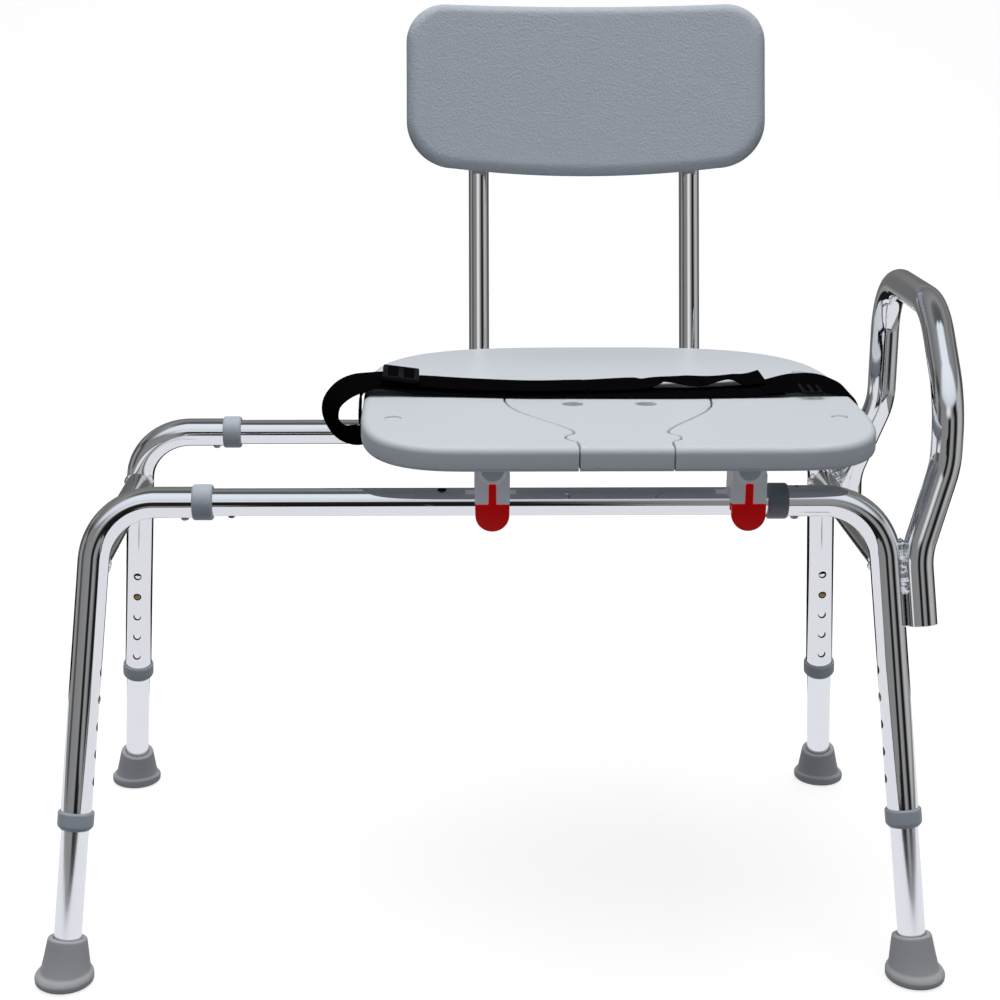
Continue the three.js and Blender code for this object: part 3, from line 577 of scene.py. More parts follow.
def round_normals(ob, path, od):
    """Gives the outer wall of a cut tube the exact normals of its round section."""
    mesh = ob.data
    points, tangents = path[0] * MM, path[1]
    count = len(mesh.vertices)
    places = np.zeros(count * 3)
    mesh.vertices.foreach_get("co", places)
    places = places.reshape(-1, 3)
    nearest = np.full(count, 1e9)
    spokes = np.zeros((count, 3))
    for k in range(len(points) - 1):
        run = points[k + 1] - points[k]
        t = np.clip(((places - points[k]) @ run) / max(run @ run, 1e-12), 0, 1)
        foot = points[k] + t[:, None] * run
        distance = np.linalg.norm(places - foot, axis=1)
        tangent = tangents[k] + (tangents[k + 1] - tangents[k]) * t[:, None]
        tangent /= np.linalg.norm(tangent, axis=1)[:, None]
        spoke = places - foot
        spoke = spoke - (spoke * tangent).sum(1)[:, None] * tangent
        nearer = distance < nearest - 1e-9
        nearest[nearer] = distance[nearer]
        spokes[nearer] = spoke[nearer]
    length = np.linalg.norm(spokes, axis=1)
    normals = spokes / np.maximum(length, 1e-9)[:, None]
    on_wall = np.abs(length - od / 2000) < 0.00012
    split = []
    for face in mesh.polygons:
        flat = np.array(face.normal)
        for loop in face.loop_indices:
            vertex = mesh.loops[loop].vertex_index
            is_round = on_wall[vertex] and float(flat @ normals[vertex]) > 0.9
            split.append(tuple(normals[vertex] if is_round else flat))
    mesh.polygons.foreach_set("use_smooth", [True] * len(mesh.polygons))
    mesh.normals_split_custom_set(split)
    mesh.update()


def drilled_tube(name, path, od, bore, material, sides, cutters):
    ob = tube(name, path, od, bore, material, sides)
    ob.data.materials.append(INSIDE)
    boolean(ob, *cutters)
    round_normals(ob, path, od)
    return ob


def catmull(points, per):
    """A smooth curve through rows of numbers, with per steps between rows."""
    rows = np.asarray(points, float)
    rows = np.vstack([2 * rows[0] - rows[1], rows, 2 * rows[-1] - rows[-2]])
    out = []
    for i in range(1, len(rows) - 2):
        a, b, c, d = rows[i - 1 : i + 3]
        square = 2 * a - 5 * b + 4 * c - d
        cube = 3 * b - a - 3 * c + d
        for k in range(per):
            t = k / per
            out.append(0.5 * (2 * b + (c - a) * t + square * t * t + cube * t**3))
    out.append(rows[-2])
    return np.array(out)


# ------------------------------------------------------------------ weld beads
def weld_bead(name, path, radius, body, seed, wobble, spacing=0.55, sides=14):
    """A lumpy skin swept along a path: even ripples, random swelling and tapered ends."""
    path = np.asarray(path, float)
    random = np.random.default_rng(seed)
    count = len(path)
    ways = np.gradient(path, axis=0)
    ways /= np.linalg.norm(ways, axis=1)[:, None]
    length = np.concatenate([[0], np.cumsum(np.linalg.norm(np.diff(path, axis=0), axis=1))])
    phase = random.uniform(0, 6.28)
    jitter = np.convolve(random.normal(0, 1, count + 8), np.ones(5) / 5, "same")[4 : count + 4]
    verts = []
    for i in range(count):
        first, second, _ = basis(ways[i])
        wave = math.sin(length[i] / (radius * spacing) + phase)
        ripple = 1 + wobble * 0.55 * wave + wobble * jitter[i] * 0.6
        taper = min(1.0, math.sqrt(min(i, count - 1 - i) / 3.0))
        size = radius * ripple * max(0.05, taper)
        for j in range(sides):
            angle = 2 * math.pi * j / sides
            lump = size * (1 + 0.10 * math.sin(3 * angle + i * 0.7 + phase))
            spoke = first * lump * math.cos(angle) + second * lump * math.sin(angle)
            verts.append(path[i] + spoke)
    faces = bands(count, sides)
    faces.append(tuple(range(sides)))
    faces.append(tuple((count - 1) * sides + j for j in range(sides - 1, -1, -1)))
    ob = make(name, verts, faces, WELD, 80.0)
    fix_normals(ob, 80.0)
    attach(ob, body)


def cross_weld(side, row):
    """The bead where the cross tube meets a leg, along the saddle curve of the two tubes."""
    centre = leg_point(side, row, CROSS_Z)
    toward = -SIGN[row]
    inward = vec(0, toward, 0)
    sideways = unit(np.cross(leg_up(side, row), inward))
    upward = unit(np.cross(inward, sideways))
    path = []
    for k in range(73):
        angle = 2 * math.pi * k / 72
        offset, height = CROSS_OD / 2 * math.cos(angle), CROSS_OD / 2 * math.sin(angle)
        depth = math.sqrt((OUTER / 2) * (OUTER / 2) - offset * offset)
        point = centre + sideways * offset + upward * height + inward * depth + inward * 0.8
        # follow the leg's splay with height
        point[1] += -toward * (SPLAY * height)
        path.append(point)
    seed = int(abs(centre[0]) + abs(centre[1]) * 3) % 97
    name = f"{side}_{row}_cross_weld"
    weld_bead(name, path, radius=2.9, body=f"{side}_end_frame", seed=seed, wobble=0.22)


# ------------------------------------------------------------------ end frames
def leg_tube(side, row):
    """The rail stub and leg bent from one tube, with its holes."""
    start = rail_point(row, SIGN[side] * (RAIL_COLLAR_X - RAIL_COLLAR_L / 2 + 2.5))
    low = leg_point(side, row, LEG_COLLAR_Z - (LEG_COLLAR_L / 2 - 3.5) * RISE)
    path = bent([(start, 0), (leg_point(side, row, RAIL_Z), LEG_BEND), (low, 0)], longest=22.0)
    way = hole_way(side, row)
    cutters = []
    for i in range(HOLE_COUNT):
        centre = leg_point(side, row, HOLE_TOP[row] - i * HOLE_PITCH * RISE)
        cutters.append(hole_cutter(centre, way, 4, 24, HOLE_R))
    button = rail_point(row, SIGN[side] * RAIL_BUTTON_X)
    cutters.append(hole_cutter(button, DOWN, 4, 24, 4.4))
    if (side, row) == ("right", "front"):
        # small hole in the top of the stub
        top = rail_point(row, 279)
        cutters.append(cylinder("cutter", top + vec(0, 0, 4), top + vec(0, -3, 24), 1.7, INSIDE, 20))
    name = f"{side}_{row}_leg_tube_look"
    leg = drilled_tube(name, path, OUTER, OUTER_BORE, CHROME, 72, cutters)
    attach(leg, f"{side}_end_frame")


def rail_collar(side, row):
    half, outside = RAIL_COLLAR_L / 2, RAIL_COLLAR_R
    bore, stub = INNER / 2 + COLLAR_PLAY, OUTER / 2 + COLLAR_PLAY
    profile = rounded(
        [
            (bore, -half, 0), (outside - 1.4, -half, 0), (outside, -half + 1.4, 0.8),
            (outside, half - 1.4, 0.8), (outside - 1.2, half, 0.8), (stub, half, 0.8),
            (stub, -half + 2.2, 0), (bore, -half + 2.2, 0),
        ]
    )
    # the right front rail collar takes the darker copy as painted shade
    material = COLLAR_PAINTED_SHADE if (side, row) == ("right", "front") else COLLAR
    centre = rail_point(row, SIGN[side] * RAIL_COLLAR_X)
    name = f"{side}_{row}_rail_collar_look"
    collar = turned(name, profile, centre, vec(SIGN[side], 0, 0), material, 72)
    attach(collar, f"{side}_end_frame")


def leg_collar(side, row):
    half, outside = LEG_COLLAR_L / 2, LEG_COLLAR_R
    bore, leg = INNER / 2 + COLLAR_PLAY, OUTER / 2 + COLLAR_PLAY
    profile = rounded(
        [
            (bore, -half, 0), (outside - 3.0, -half, 0.5), (outside - 0.6, -half + 2.6, 1.0),
            (outside, -half + 4.2, 1.2), (outside, half - 1.2, 0.8), (outside - 1.0, half, 0.6),
            (leg, half, 0), (leg, -half + 3, 0), (bore, -half + 3, 0),
        ]
    )
    centre = leg_point(side, row, LEG_COLLAR_Z)
    name = f"{side}_{row}_leg_collar_look"
    collar = turned(name, profile, centre, leg_up(side, row), COLLAR, 72)
    attach(collar, f"{side}_end_frame")


def cross_tube(side):
    """The tube between the two legs of a side, run 5 mm into each."""
    front, rear = (leg_point(side, row, CROSS_Z) for row in ROWS)
    way = unit(rear - front)
    inset = OUTER / 2 - 5
    path = straight(front + way * inset, rear - way * inset, way, longest=40.0)
    cross = tube(f"{side}_cross_tube_look", path, CROSS_OD, CROSS_BORE, CHROME_DULL, 64)
    attach(cross, f"{side}_end_frame")


for side in SIDES:
    for row in ROWS:
        leg_tube(side, row)
        rail_collar(side, row)
        leg_collar(side, row)
    cross_tube(side)
    for row in ROWS:
        cross_weld(side, row)

# ------------------------------------------------------------------ arm rail
ARM_X, ARM_Z = 416.5, 600
# (corner, bend radius) from the front leg over to the rear leg
ARM_CORNERS = [
    (beside_leg("front", ARM_END["front"]), 0),
    (beside_leg("front", 387), 70),
    (vec(ARM_X, -129, 466), 80),
    (vec(ARM_X, -127, 524), 85),
    (vec(ARM_X, -53, ARM_Z), 80),
    (vec(ARM_X, 131, ARM_Z), 58),
    (vec(ARM_X, 129, 468), 80),
    (beside_leg("rear", 387), 70),
    (beside_leg("rear", ARM_END["rear"]), 0),
]
# low end, high end and first seed of the two beads on each leg
ARM_WELDS = {"front": (351, 400, 14), "rear": (358, 390, 11)}


def arm_plug(row):
    radius = ARM_BORE / 2 - 0.4
    profile = rounded([(0, 2.2, 0), (radius, 2.2, 1.0), (radius, 15, 1.0), (0, 15, 0)])
    place, axis = beside_leg(row, ARM_END[row]), leg_up("right", row)
    plug = turned(f"arm_rail_plug_{row}_look", profile, place, axis, BLACK, 48)
    attach(plug, "right_end_frame")


def arm_welds(row):
    """Two beads in the valleys between the arm rail and the leg, closing in above z = 388."""
    low, high, seed = ARM_WELDS[row]
    for k, way in enumerate((-1, 1)):
        path = []
        for z in np.linspace(low, high, 38):
            above = max(0.0, z - 388)
            offset = vec(ARM_DX / 2 + above * 0.12, way * (5.2 - above * 0.16), 0)
            path.append(leg_point("right", row, z) + offset)
        name = f"arm_weld_{row}_{k}"
        weld_bead(name, path, 4.3, "right_end_frame", seed + k, wobble=0.42, spacing=0.8)


arm = tube("arm_rail_look", bent(ARM_CORNERS, 30.0), ARM_OD, ARM_BORE, CHROME, 72, lip=0.8)
attach(arm, "right_end_frame")
for row in ROWS:
    arm_plug(row)
    arm_welds(row)

# ------------------------------------------------------------------ slide rails and snap buttons
# base radius, pin radius, then distances from the tube's axis of the base's underside, the pin's
# shoulder and its tip, and the rounding of the shoulder
BUTTON_SHAPES = {
    "rail": (5.6, 3.7, 6.4, 16.6, 17.4, 2.4),
    "leg": (5.4, 3.45, 6.4, 14.6, 15.4, 2.2),
    "post": (4.6, 3.0, 4.6, 14.2, 14.9, 2.0),
}


def snap_button(node_name, shape, centre, axis, material):
    base_r, pin_r, base, shoulder, tip, rounding = BUTTON_SHAPES[shape]
    profile = rounded(
        [
            (0, base, 0), (base_r, base, 0.3), (base_r, base + 1.4, 0.3),
            (pin_r, base + 1.6, 0.3), (pin_r, shoulder, rounding), (0, tip, 0),
        ],
        steps=6,
    )
    button = turned(f"{node_name}_look", profile, centre, axis, material, 40)
    attach(button, node_name)


def slide_rail(row):
    path = straight(rail_point(row, -RAIL_END_X), rail_point(row, RAIL_END_X), vec(1, 0, 0), 40.0)
    centres = {side: rail_point(row, SIGN[side] * RAIL_BUTTON_X) for side in SIDES}
    cutters = [hole_cutter(centre, DOWN, 4, 22, 4.3) for centre in centres.values()]
    if row == "front":
        # hole in the top, tipped a little forward
        hole = rail_point(row, -44)
        cutters.append(cylinder("cutter", hole + vec(0, -1, 4), hole + vec(0, -6, 20), 4.2, INSIDE, 28))
    rail = drilled_tube(f"{row}_rail_look", path, INNER, INNER_BORE, CHROME, 72, cutters)
    attach(rail, "base")
    for side, centre in centres.items():
        snap_button(f"{side}_{row}_rail_button", "rail", centre, DOWN, STEEL)


def rail_rivet():
    """A rivet under the front rail."""
    profile = rounded([(0, 12.2, 0), (3.1, 12.2, 0.2), (3.1, 14.4, 1.6), (0, 15.4, 0)], steps=5)
    rivet = turned("front_rail_rivet", profile, rail_point("front", -236), DOWN, RIVET, 32)
    attach(rivet, "base")


for row in ROWS:
    slide_rail(row)
rail_rivet()

# ------------------------------------------------------------------ leg extensions and feet
# radius, height, rounding: a flared flange on the floor under a tapered sleeve
FOOT_PROFILE = [
    (0.0, 0.0, 0), (24.6, 0.0, 1), (27.0, 2.0, 1), (27.4, 7.0, 1.5), (26.0, 9.6, 1.2),
    (23.2, 11.2, 1.6), (21.2, 22.0, 2), (18.6, 36.5, 1.6), (17.8, 40.2, 1.0),
    (13.05, 40.6, 0.6), (13.05, 30.0, 0), (0.0, 30.0, 0),
]
FOOT_SIDES = 72


def leg_extension(side, row):
    up = leg_up(side, row)
    path = straight(leg_point(side, row, 7.5), leg_point(side, row, HOLE_TOP[row]), up, 30.0)
    way = hole_way(side, row)
    centre = leg_point(side, row, HOLE_TOP[row] - HOLE_PITCH * RISE)
    cutters = [hole_cutter(centre, way, 4, 22, 4.1)]
    name = f"{side}_{row}_leg_extension_look"
    extension = drilled_tube(name, path, INNER, INNER_BORE, CHROME_SOFT, 64, cutters)
    attach(extension, f"{side}_{row}_leg")
    snap_button(f"{side}_{row}_leg_button", "leg", centre, way, BRASS)


def clamp(value):
    return min(1.0, max(0.0, value))


def leg_foot(side, row):
    """A foot level on the floor; its sleeve leans with the leg and its top tilts square to it."""
    base, up = leg_point(side, row, 0), leg_up(side, row)
    verts, rings = [], []
    for radius, height in rounded(FOOT_PROFILE):
        centre = base + up / up[2] * height * clamp((height - 6.0) / 5.0)
        centre[2] = height
        if radius < 1e-6:
            rings.append([len(verts)])
            verts.append(centre)
            continue
        tilt = clamp((height - 24.0) / 14.0)
        rings.append(list(range(len(verts), len(verts) + FOOT_SIDES)))
        for angle in np.linspace(0, 2 * math.pi, FOOT_SIDES, endpoint=False):
            spoke = vec(radius * math.cos(angle), radius * math.sin(angle), 0)
            spoke[2] = -tilt * (spoke[0] * up[0] + spoke[1] * up[1]) / up[2]
            verts.append(centre + spoke)
    foot = make(f"{side}_{row}_foot_look", verts, skin(rings), FOOT, 45.0)
    fix_normals(foot, 45.0)
    attach(foot, f"{side}_{row}_leg")


for side, row in CORNERS:
    leg_extension(side, row)
    leg_foot(side, row)


# ------------------------------------------------------------------ outlines
def arc(x, y, x_radius, y_radius, start, end, steps):
    angles = np.linspace(start, end, steps + 1)
    return [(x + x_radius * math.cos(a), y + y_radius * math.sin(a)) for a in angles]


def resample(points):
    """Points OUTLINE_GAP apart, as nearly as divides the line evenly."""
    points = np.asarray(points, float)
    steps = np.linalg.norm(np.diff(points, axis=0), axis=1)
    distance = np.concatenate([[0], np.cumsum(steps)])
    count = max(2, int(round(distance[-1] / OUTLINE_GAP)))
    even = np.linspace(0, distance[-1], count + 1)
    return np.column_stack([np.interp(even, distance, points[:, k]) for k in (0, 1)])


def seat_outline():
    """Counter-clockwise outline: superellipse quarters at the rear and at the front corners."""
    rear_y, rear_power = 20.0, 2 / 3.2
    corner_w, front_y, front_power = 106.0, -60.0, 2 / 2.9
    half = []
    for i in range(121):
        t = math.pi / 2 * (1 - i / 120)
        y = rear_y + (SEAT_BACK - rear_y) * math.sin(t) ** rear_power
        half.append((SEAT_W * math.cos(t) ** rear_power, y))
    half[0] = (0.0, SEAT_BACK)
    for i in range(121):
        t = math.pi / 2 * i / 120
        x = SEAT_W - corner_w + corner_w * math.cos(t) ** front_power
        half.append((x, front_y - (SEAT_FRONT + front_y) * math.sin(t) ** front_power))
    half.append((0.0, -SEAT_FRONT))
    right = [tuple(point) for point in resample(half)]
    left = [(-x, y) for x, y in right[1:-1]][::-1]
    return np.array(right + left)[::-1] + vec(SEAT_X, 0)


# right half of the seat's cut-out, as x, y from the rear middle to the seat's front edge
NECK_HALF = 41.0
CUTOUT_HALF = arc(0, -25, 99, 57, math.pi / 2, 0, 16) + [
    (97.4, -42), (95, -54), (90, -69), (85, -80), (79, -91), (72.5, -101.5), (66, -112),
    (60, -121), (54, -130), (49.5, -138), (45.8, -145.5), (43, -152), (41.9, -158),
    (42.2, -162), (44, -166), (47, -169), (49.8, -172.5), (51, -177), (50.6, -182),
    (48.6, -187), (45, -190.5), (42.2, -193.5), (41.2, -198),
    (NECK_HALF, -205.0), (NECK_HALF, -212.0), (NECK_HALF, -SEAT_FRONT),
]


def cutout_outline(grow, neck_grow=None):
    """The cut-out's outline grown by grow and run 6 mm past the seat's front.

    With neck_grow the part in front of y = -140 grows by that instead, and its side is
    straight in front of y = -158.
    """
    half = np.array(CUTOUT_HALF, float)
    tangents = np.zeros_like(half)
    tangents[1:-1] = half[2:] - half[:-2]
    tangents[0] = (1, 0)
    tangents[-1] = (0, -1)
    tangents /= np.linalg.norm(tangents, axis=1)[:, None]
    outward = np.column_stack([-tangents[:, 1], tangents[:, 0]])
    growth = np.full(len(half), float(grow))
    neck = half[:, 1] < -140
    if neck_grow is not None:
        growth[neck] = neck_grow
    out = half + outward * growth[:, None]
    out[0] = (0, half[0][1] + grow)
    out[-1, 1] = -SEAT_FRONT - 6
    if neck_grow is not None:
        neck_x = np.where(half[:, 1] < -158, NECK_HALF, half[:, 0])
        out[neck, 0] = neck_x[neck] + neck_grow
    left = [(-x, y) for x, y in out[::-1] if x > 1e-6]
    return np.array([tuple(point) for point in out] + left)[::-1] + vec(PLUG_X, 0)


# ------------------------------------------------------------------ seat
# height over the seat's top and how far the seam has flared there
SEAM_FLARE = ((-1.7, 0.0), (-0.9, 0.15), (-0.35, 0.45), (0.02, 1.0), (6, 1.0))


def seat_block(name):
    """The seat's whole rounded body."""
    middle = (SEAT_X, 10)
    return slab(name, seat_outline(), SEAT_LOW, SEAT_TOP, 6.8, 4.0, SEAT, middle, steps=8, insets=14)


def seam_prism(grow, bottom):
    """The cut-out above the ledge, flaring at the top away from its seam's middle."""
    sections = [(cutout_outline(grow), bottom)]
    for height, flare in SEAM_FLARE:
        outline = cutout_outline(grow + math.copysign(flare, grow))
        sections.append((outline, SEAT_TOP + height))
    return prism("cutter", sections)


def ledge_prism(grow, neck_grow, top):
    """The narrower cut-out through the ledge."""
    outline = cutout_outline(grow, neck_grow)
    return prism("cutter", [(outline, SEAT_LOW - 6), (outline, top)])


def cap_place(side, row):
    return vec(SEAT_X + SIGN[side] * CAP_DX, SIGN[row] * CAP_Y, SEAT_TOP)


def seat_panel():
    """The seat with its cut-out and four round recesses for the screw caps."""
    panel = seat_block("seat_panel_look")
    cutters = [seam_prism(1.0, LEDGE), ledge_prism(-7.5, 1.0, LEDGE + 1)]
    recess = [(0, -5.9), (7.5, -5.9), (7.5, -1.0), (7.7, -0.4), (8.1, 0.02), (8.1, 5), (0, 5)]
    for side, row in CORNERS:
        cutters.append(turned("cutter", recess, cap_place(side, row), UP, BLACK, 48))
    boolean(panel, *cutters)
    smooth(panel, 32.0)
    attach(panel, "seat")


def post_x(side):
    return BACK_X + SIGN[side] * POST_DX


def post_socket(side):
    """The block under the rear of the seat that holds a backrest post."""
    x = post_x(side)
    low, high = (x - 15, 180, POST_RUN_Z - 13.5), (x + 15, 222, SEAT_LOW + 0.5)
    socket = box(f"{side}_post_socket", low, high, SEAT)
    bevel(socket, 2.5, 3)
    bore_r = POST_OD / 2 + 0.4
    bore = cylinder("cutter", vec(x, 170, POST_RUN_Z), vec(x, 240, POST_RUN_Z), bore_r)
    button = vec(x, POST_BUTTON_Y, POST_RUN_Z)
    boolean(socket, bore, hole_cutter(button, DOWN, 24, 0, 3.8, BLACK))
    smooth(socket, 32.0)
    attach(socket, "seat")


def cutout_plug():
    """The removable piece that fills the cut-out, with two finger holes."""
    plug = seat_block("seat_cutout_plug_look")
    upper = seam_prism(-0.5, LEDGE + 0.3)
    low_part = seat_block("plug_low")
    lower = ledge_prism(-8.2, -0.5, LEDGE + 2)
    boolean(plug, upper, op="INTERSECT")
    boolean(low_part, lower, op="INTERSECT")
    boolean(plug, low_part, op="UNION")
    finger = [(0, -40), (9.8, -40), (9.8, -1.6), (10.1, -0.8), (11.4, 0.02), (11.4, 5), (0, 5)]
    places = [vec(PLUG_X + dx, -42, SEAT_TOP) for dx in (-35, 35)]
    boolean(plug, *[turned("cutter", finger, place, UP, BLACK, 56) for place in places])
    smooth(plug, 32.0)
    attach(plug, "cutout")


def screw_cap(side, row):
    profile = rounded([(0, -5.6, 0), (7.0, -5.6, 0.2), (7.0, -1.3, 0.9), (0, -0.7, 0)], steps=5)
    name = f"{side}_{row}_seat_screw_cap_look"
    attach(turned(name, profile, cap_place(side, row), UP, SEAT, 48), "seat")


seat_panel()
for side in SIDES:
    post_socket(side)
cutout_plug()
for side, row in CORNERS:
    screw_cap(side, row)

# ------------------------------------------------------------------ glides and levers
# Drawn about the front rail's axis with the lever on the -Y face; the rear ones are turned round.
GLIDE_HALF = 15.7
GLIDE_TOP = SEAT_LOW - RAIL_Z - 0.3
PIVOT_Y, PIVOT_Z = -15.6, 17.0
ARCH_R, ARCH_Z = 12.4, 32.4
SLOT_HALF, STEM_HALF = 3.9, 3.3


def pose_on_rail(ob, side, row):
    turn = Matrix.Rotation(math.pi if row == "rear" else 0.0, 4, "Z")
    pose(ob, rail_point(row, SEAT_X + SIGN[side] * LATCH_DX), turn)


def glide_chamfer():
    """A cutter that slopes off one upper edge of the glide's lever face."""
    near, far = GLIDE_HALF - 3.4, GLIDE_HALF + 1
    outline = [(near, 38), (far, 27), (far, 60), (near, 60)]
    verts = [(x, y, z) for y in (-26, -13) for x, z in outline]
    faces = [(0, 1, 2, 3), (7, 6, 5, 4), (0, 4, 5, 1), (1, 5, 6, 2), (2, 6, 7, 3), (3, 7, 4, 0)]
    cutter = make("cutter", verts, faces, BLACK)
    fix_normals(cutter)
    return cutter


def glide_arch():
    """The arched recess in the lever face."""
    arch = cylinder("cutter", vec(0, -25, ARCH_Z), vec(0, -16.6, ARCH_Z), ARCH_R, sides=64)
    upper = box("cutter", (-ARCH_R, -25, ARCH_Z), (ARCH_R, -16.6, GLIDE_TOP + 2))
    boolean(arch, upper, op="UNION")
    return arch


def glide_body(side, row):
    half = GLIDE_HALF
    body = box(f"{side}_{row}_glide_look", (-half, -19, 2.2), (half, 17, GLIDE_TOP), GLIDE)
    lip = box("lip", (-half, 13.3, -7), (half, 17, 3), GLIDE)
    low, high = (-half - 8, -17, GLIDE_TOP - 4), (half + 8, 19, GLIDE_TOP)
    flange = box("flange", low, high, GLIDE)
    bevel(flange, 1.0, 2)
    boolean(body, lip, op="UNION")
    boolean(body, glide_chamfer())
    bevel(body, 0.9, 3)
    hub_start, hub_end = vec(-SLOT_HALF, PIVOT_Y, PIVOT_Z), vec(SLOT_HALF, PIVOT_Y, PIVOT_Z)
    boolean(
        body,
        cylinder("cutter", vec(-40, 0, 0), vec(40, 0, 0), INNER / 2 + 0.45, sides=72),
        glide_arch(),
        box("cutter", (-SLOT_HALF, -25, -1), (SLOT_HALF, -14.0, PIVOT_Z)),
        cylinder("cutter", hub_start, hub_end, 3.9, sides=32),
        box("cutter", (-SLOT_HALF, -25, PIVOT_Z - 1), (SLOT_HALF, PIVOT_Y, PIVOT_Z + 3.4)),
    )
    boolean(body, flange, op="UNION")
    smooth(body, 30.0)
    pose_on_rail(body, side, row)
    attach(body, "seat")


def glide_boss(side, row):
    """The half-round boss that stands in the arch, darker than the glide plastic as painted shade."""
    start, end = vec(0, -18.4, 33.6), vec(0, -15.0, 33.6)
    boss = cylinder(f"{side}_{row}_glide_boss", start, end, 10.2, BOSS_PAINTED_SHADE, 56)
    boolean(boss, box("cutter", (-14, -26, 34.6), (14, -10, 60)))
    bevel(boss, 0.8, 3, 40)
    smooth(boss, 40.0)
    pose_on_rail(boss, side, row)
    attach(boss, "seat")


def latch_lever(side, row):
    """A round-bottomed paddle on a stem that hangs from the glide's pivot."""
    half, top, bottom, straight_z = 15.4, 1.5, -23.1, -8.0
    outline = [(half, top), (-half, top), (-half, straight_z)]
    for angle in np.linspace(math.pi, 2 * math.pi, 33)[1:-1]:
        z = straight_z + (straight_z - bottom) * math.sin(angle)
        outline.append((half * math.cos(angle), z))
    outline.append((half, straight_z))
    verts = [(x, y, z) for y in (-19.2, -14.2) for x, z in outline]
    count = len(outline)
    faces = [tuple(range(count)), tuple(range(2 * count - 1, count - 1, -1))]
    faces += bands(2, count)
    name = f"{side}_{row}_latch_lever"
    lever = make(f"{name}_look", verts, faces, RED)
    fix_normals(lever)
    stem = box("stem", (-STEM_HALF, -18.8, -1), (STEM_HALF, -14.4, PIVOT_Z), RED)
    start, end = vec(-STEM_HALF, PIVOT_Y, PIVOT_Z), vec(STEM_HALF, PIVOT_Y, PIVOT_Z)
    boolean(lever, stem, cylinder("hub", start, end, 3.2, RED, 32), op="UNION")
    bevel(lever, 0.8, 3, 40)
    smooth(lever, 35.0)
    pose_on_rail(lever, side, row)
    attach(lever, name)


for side, row in CORNERS:
    glide_body(side, row)
    glide_boss(side, row)
    latch_lever(side, row)


# ------------------------------------------------------------------ backrest
def post_y(z):
    return POST_Y + (z - SEAT_TOP) * POST_LEAN


def backrest_post(side):
    x = post_x(side)
    corners = [
        (vec(x, 184, POST_RUN_Z), 0),
        (vec(x, post_y(POST_RUN_Z), POST_RUN_Z), 30),
        (vec(x, post_y(POST_TOP), POST_TOP), 0),
    ]
    button = vec(x, POST_BUTTON_Y, POST_RUN_Z)
    cutters = [hole_cutter(button, DOWN, 20, 4, 3.5)]
    name = f"{side}_backrest_post_look"
    post = drilled_tube(name, bent(corners, 30.0), POST_OD, POST_BORE, CHROME, 64, cutters)
    attach(post, "backrest")
    snap_button(f"{side}_post_button", "post", button, DOWN, STEEL)


def back_outline(top_r=42.0, low_r=50.0, belly=7.0):
    """A rounded rectangle whose lower edge bows down by belly."""
    half_w, half_h = BACK_W / 2, BACK_H / 2
    quarter = math.pi / 2
    x, z = half_w - top_r, half_h - top_r
    points = arc(x, z, top_r, top_r, 0, quarter, 24)
    points += arc(-x, z, top_r, top_r, quarter, 2 * quarter, 24)
    x, z = half_w - low_r, -half_h + low_r
    points += arc(-x, z, low_r, low_r, 2 * quarter, 3 * quarter, 24)
    points += [(k, -half_h - belly * (1 - (k / x) ** 2)) for k in np.linspace(-x, x, 41)[1:-1]]
    points += arc(x, z, low_r, low_r, 3 * quarter, 4 * quarter, 24)
    points.append(points[0])
    return resample(points)[:-1]


def bend_back(verts):
    """Curves the flat slab (x across, y up, z out of its front face) and leans it on the posts."""
    radius = BACK_W * BACK_W / 8 / BACK_SAG + BACK_SAG / 2
    lean = math.atan(POST_LEAN)
    cos, sin = math.cos(lean), math.sin(lean)
    # how far the slab's back face stands off the posts' axis at the middle
    offset = POST_OD / 2 + BACK_T - 6.6 + 0.4
    centre = vec(BACK_X, post_y(BACK_Z) - offset * cos, BACK_Z + offset * sin)
    across, height, depth = verts.T
    reach = radius + (BACK_T - depth)
    angle = np.arcsin(across / (radius + BACK_T / 2))
    y = reach * np.cos(angle) - radius
    bent_points = [reach * np.sin(angle), y * cos + height * sin, -y * sin + height * cos]
    return np.column_stack(bent_points) + centre


def backrest_panel():
    name = "backrest_panel_look"
    panel = slab(name, back_outline(), 0.0, BACK_T, 11.0, 6.0, BACK, (0, 0), 10, 40, bend_back)
    attach(panel, "backrest")


for side in SIDES:
    backrest_post(side)
backrest_panel()

# ------------------------------------------------------------------ seat belt
STRAP_W, STRAP_T, STRAP_COLUMNS = 48, 2.2, 12
# lap layers. Columns: x, y, height over the seat's top, width, rise across the width (0 if left out)
LOWER_LEFT = [
    (-114.0, 4, -38.5, 46), (-121.6, 5, -26.5, 46), (-122.4, 7, -11.5, 47),
    (-120.0, 10, 1.0, 48), (-108, 12, 7.5, 48), (-84, 12, 5.5, 48), (-62, 10, 3.4, 48),
    (-20, 7, 2.6, 48), (40, 1, 2.4, 48), (96, 0, 2.4, 48),
]
LOWER_RIGHT = [
    (96, 0, 2.4, 48), (150, -2.5, 2.2, 45), (200, -3, 2.0, 44), (250, 1, 2.8, 47),
    (286, 4, 5.0, 48, 0.08),
]
UPPER_LEFT = [
    (-112, 24, 10.5, 50), (-84, 24, 9.6, 50), (-60, 22, 8.4, 50), (-20, 12, 7.6, 50),
    (45, 4, 7.2, 50), (96, 7, 7.4, 50),
]
UPPER_RIGHT = [
    (96, 7, 7.2, 50), (150, 17, 7.2, 50), (172, 24, 9.0, 44, -0.14), (205, 26, 7.0, 50),
    (235, 31, 9.2, 44, -0.14), (250, 32.5, 7.0, 51), (262, 33.5, 7.4, 53),
    (274, 33.5, 9.8, 53, 0.04),
]
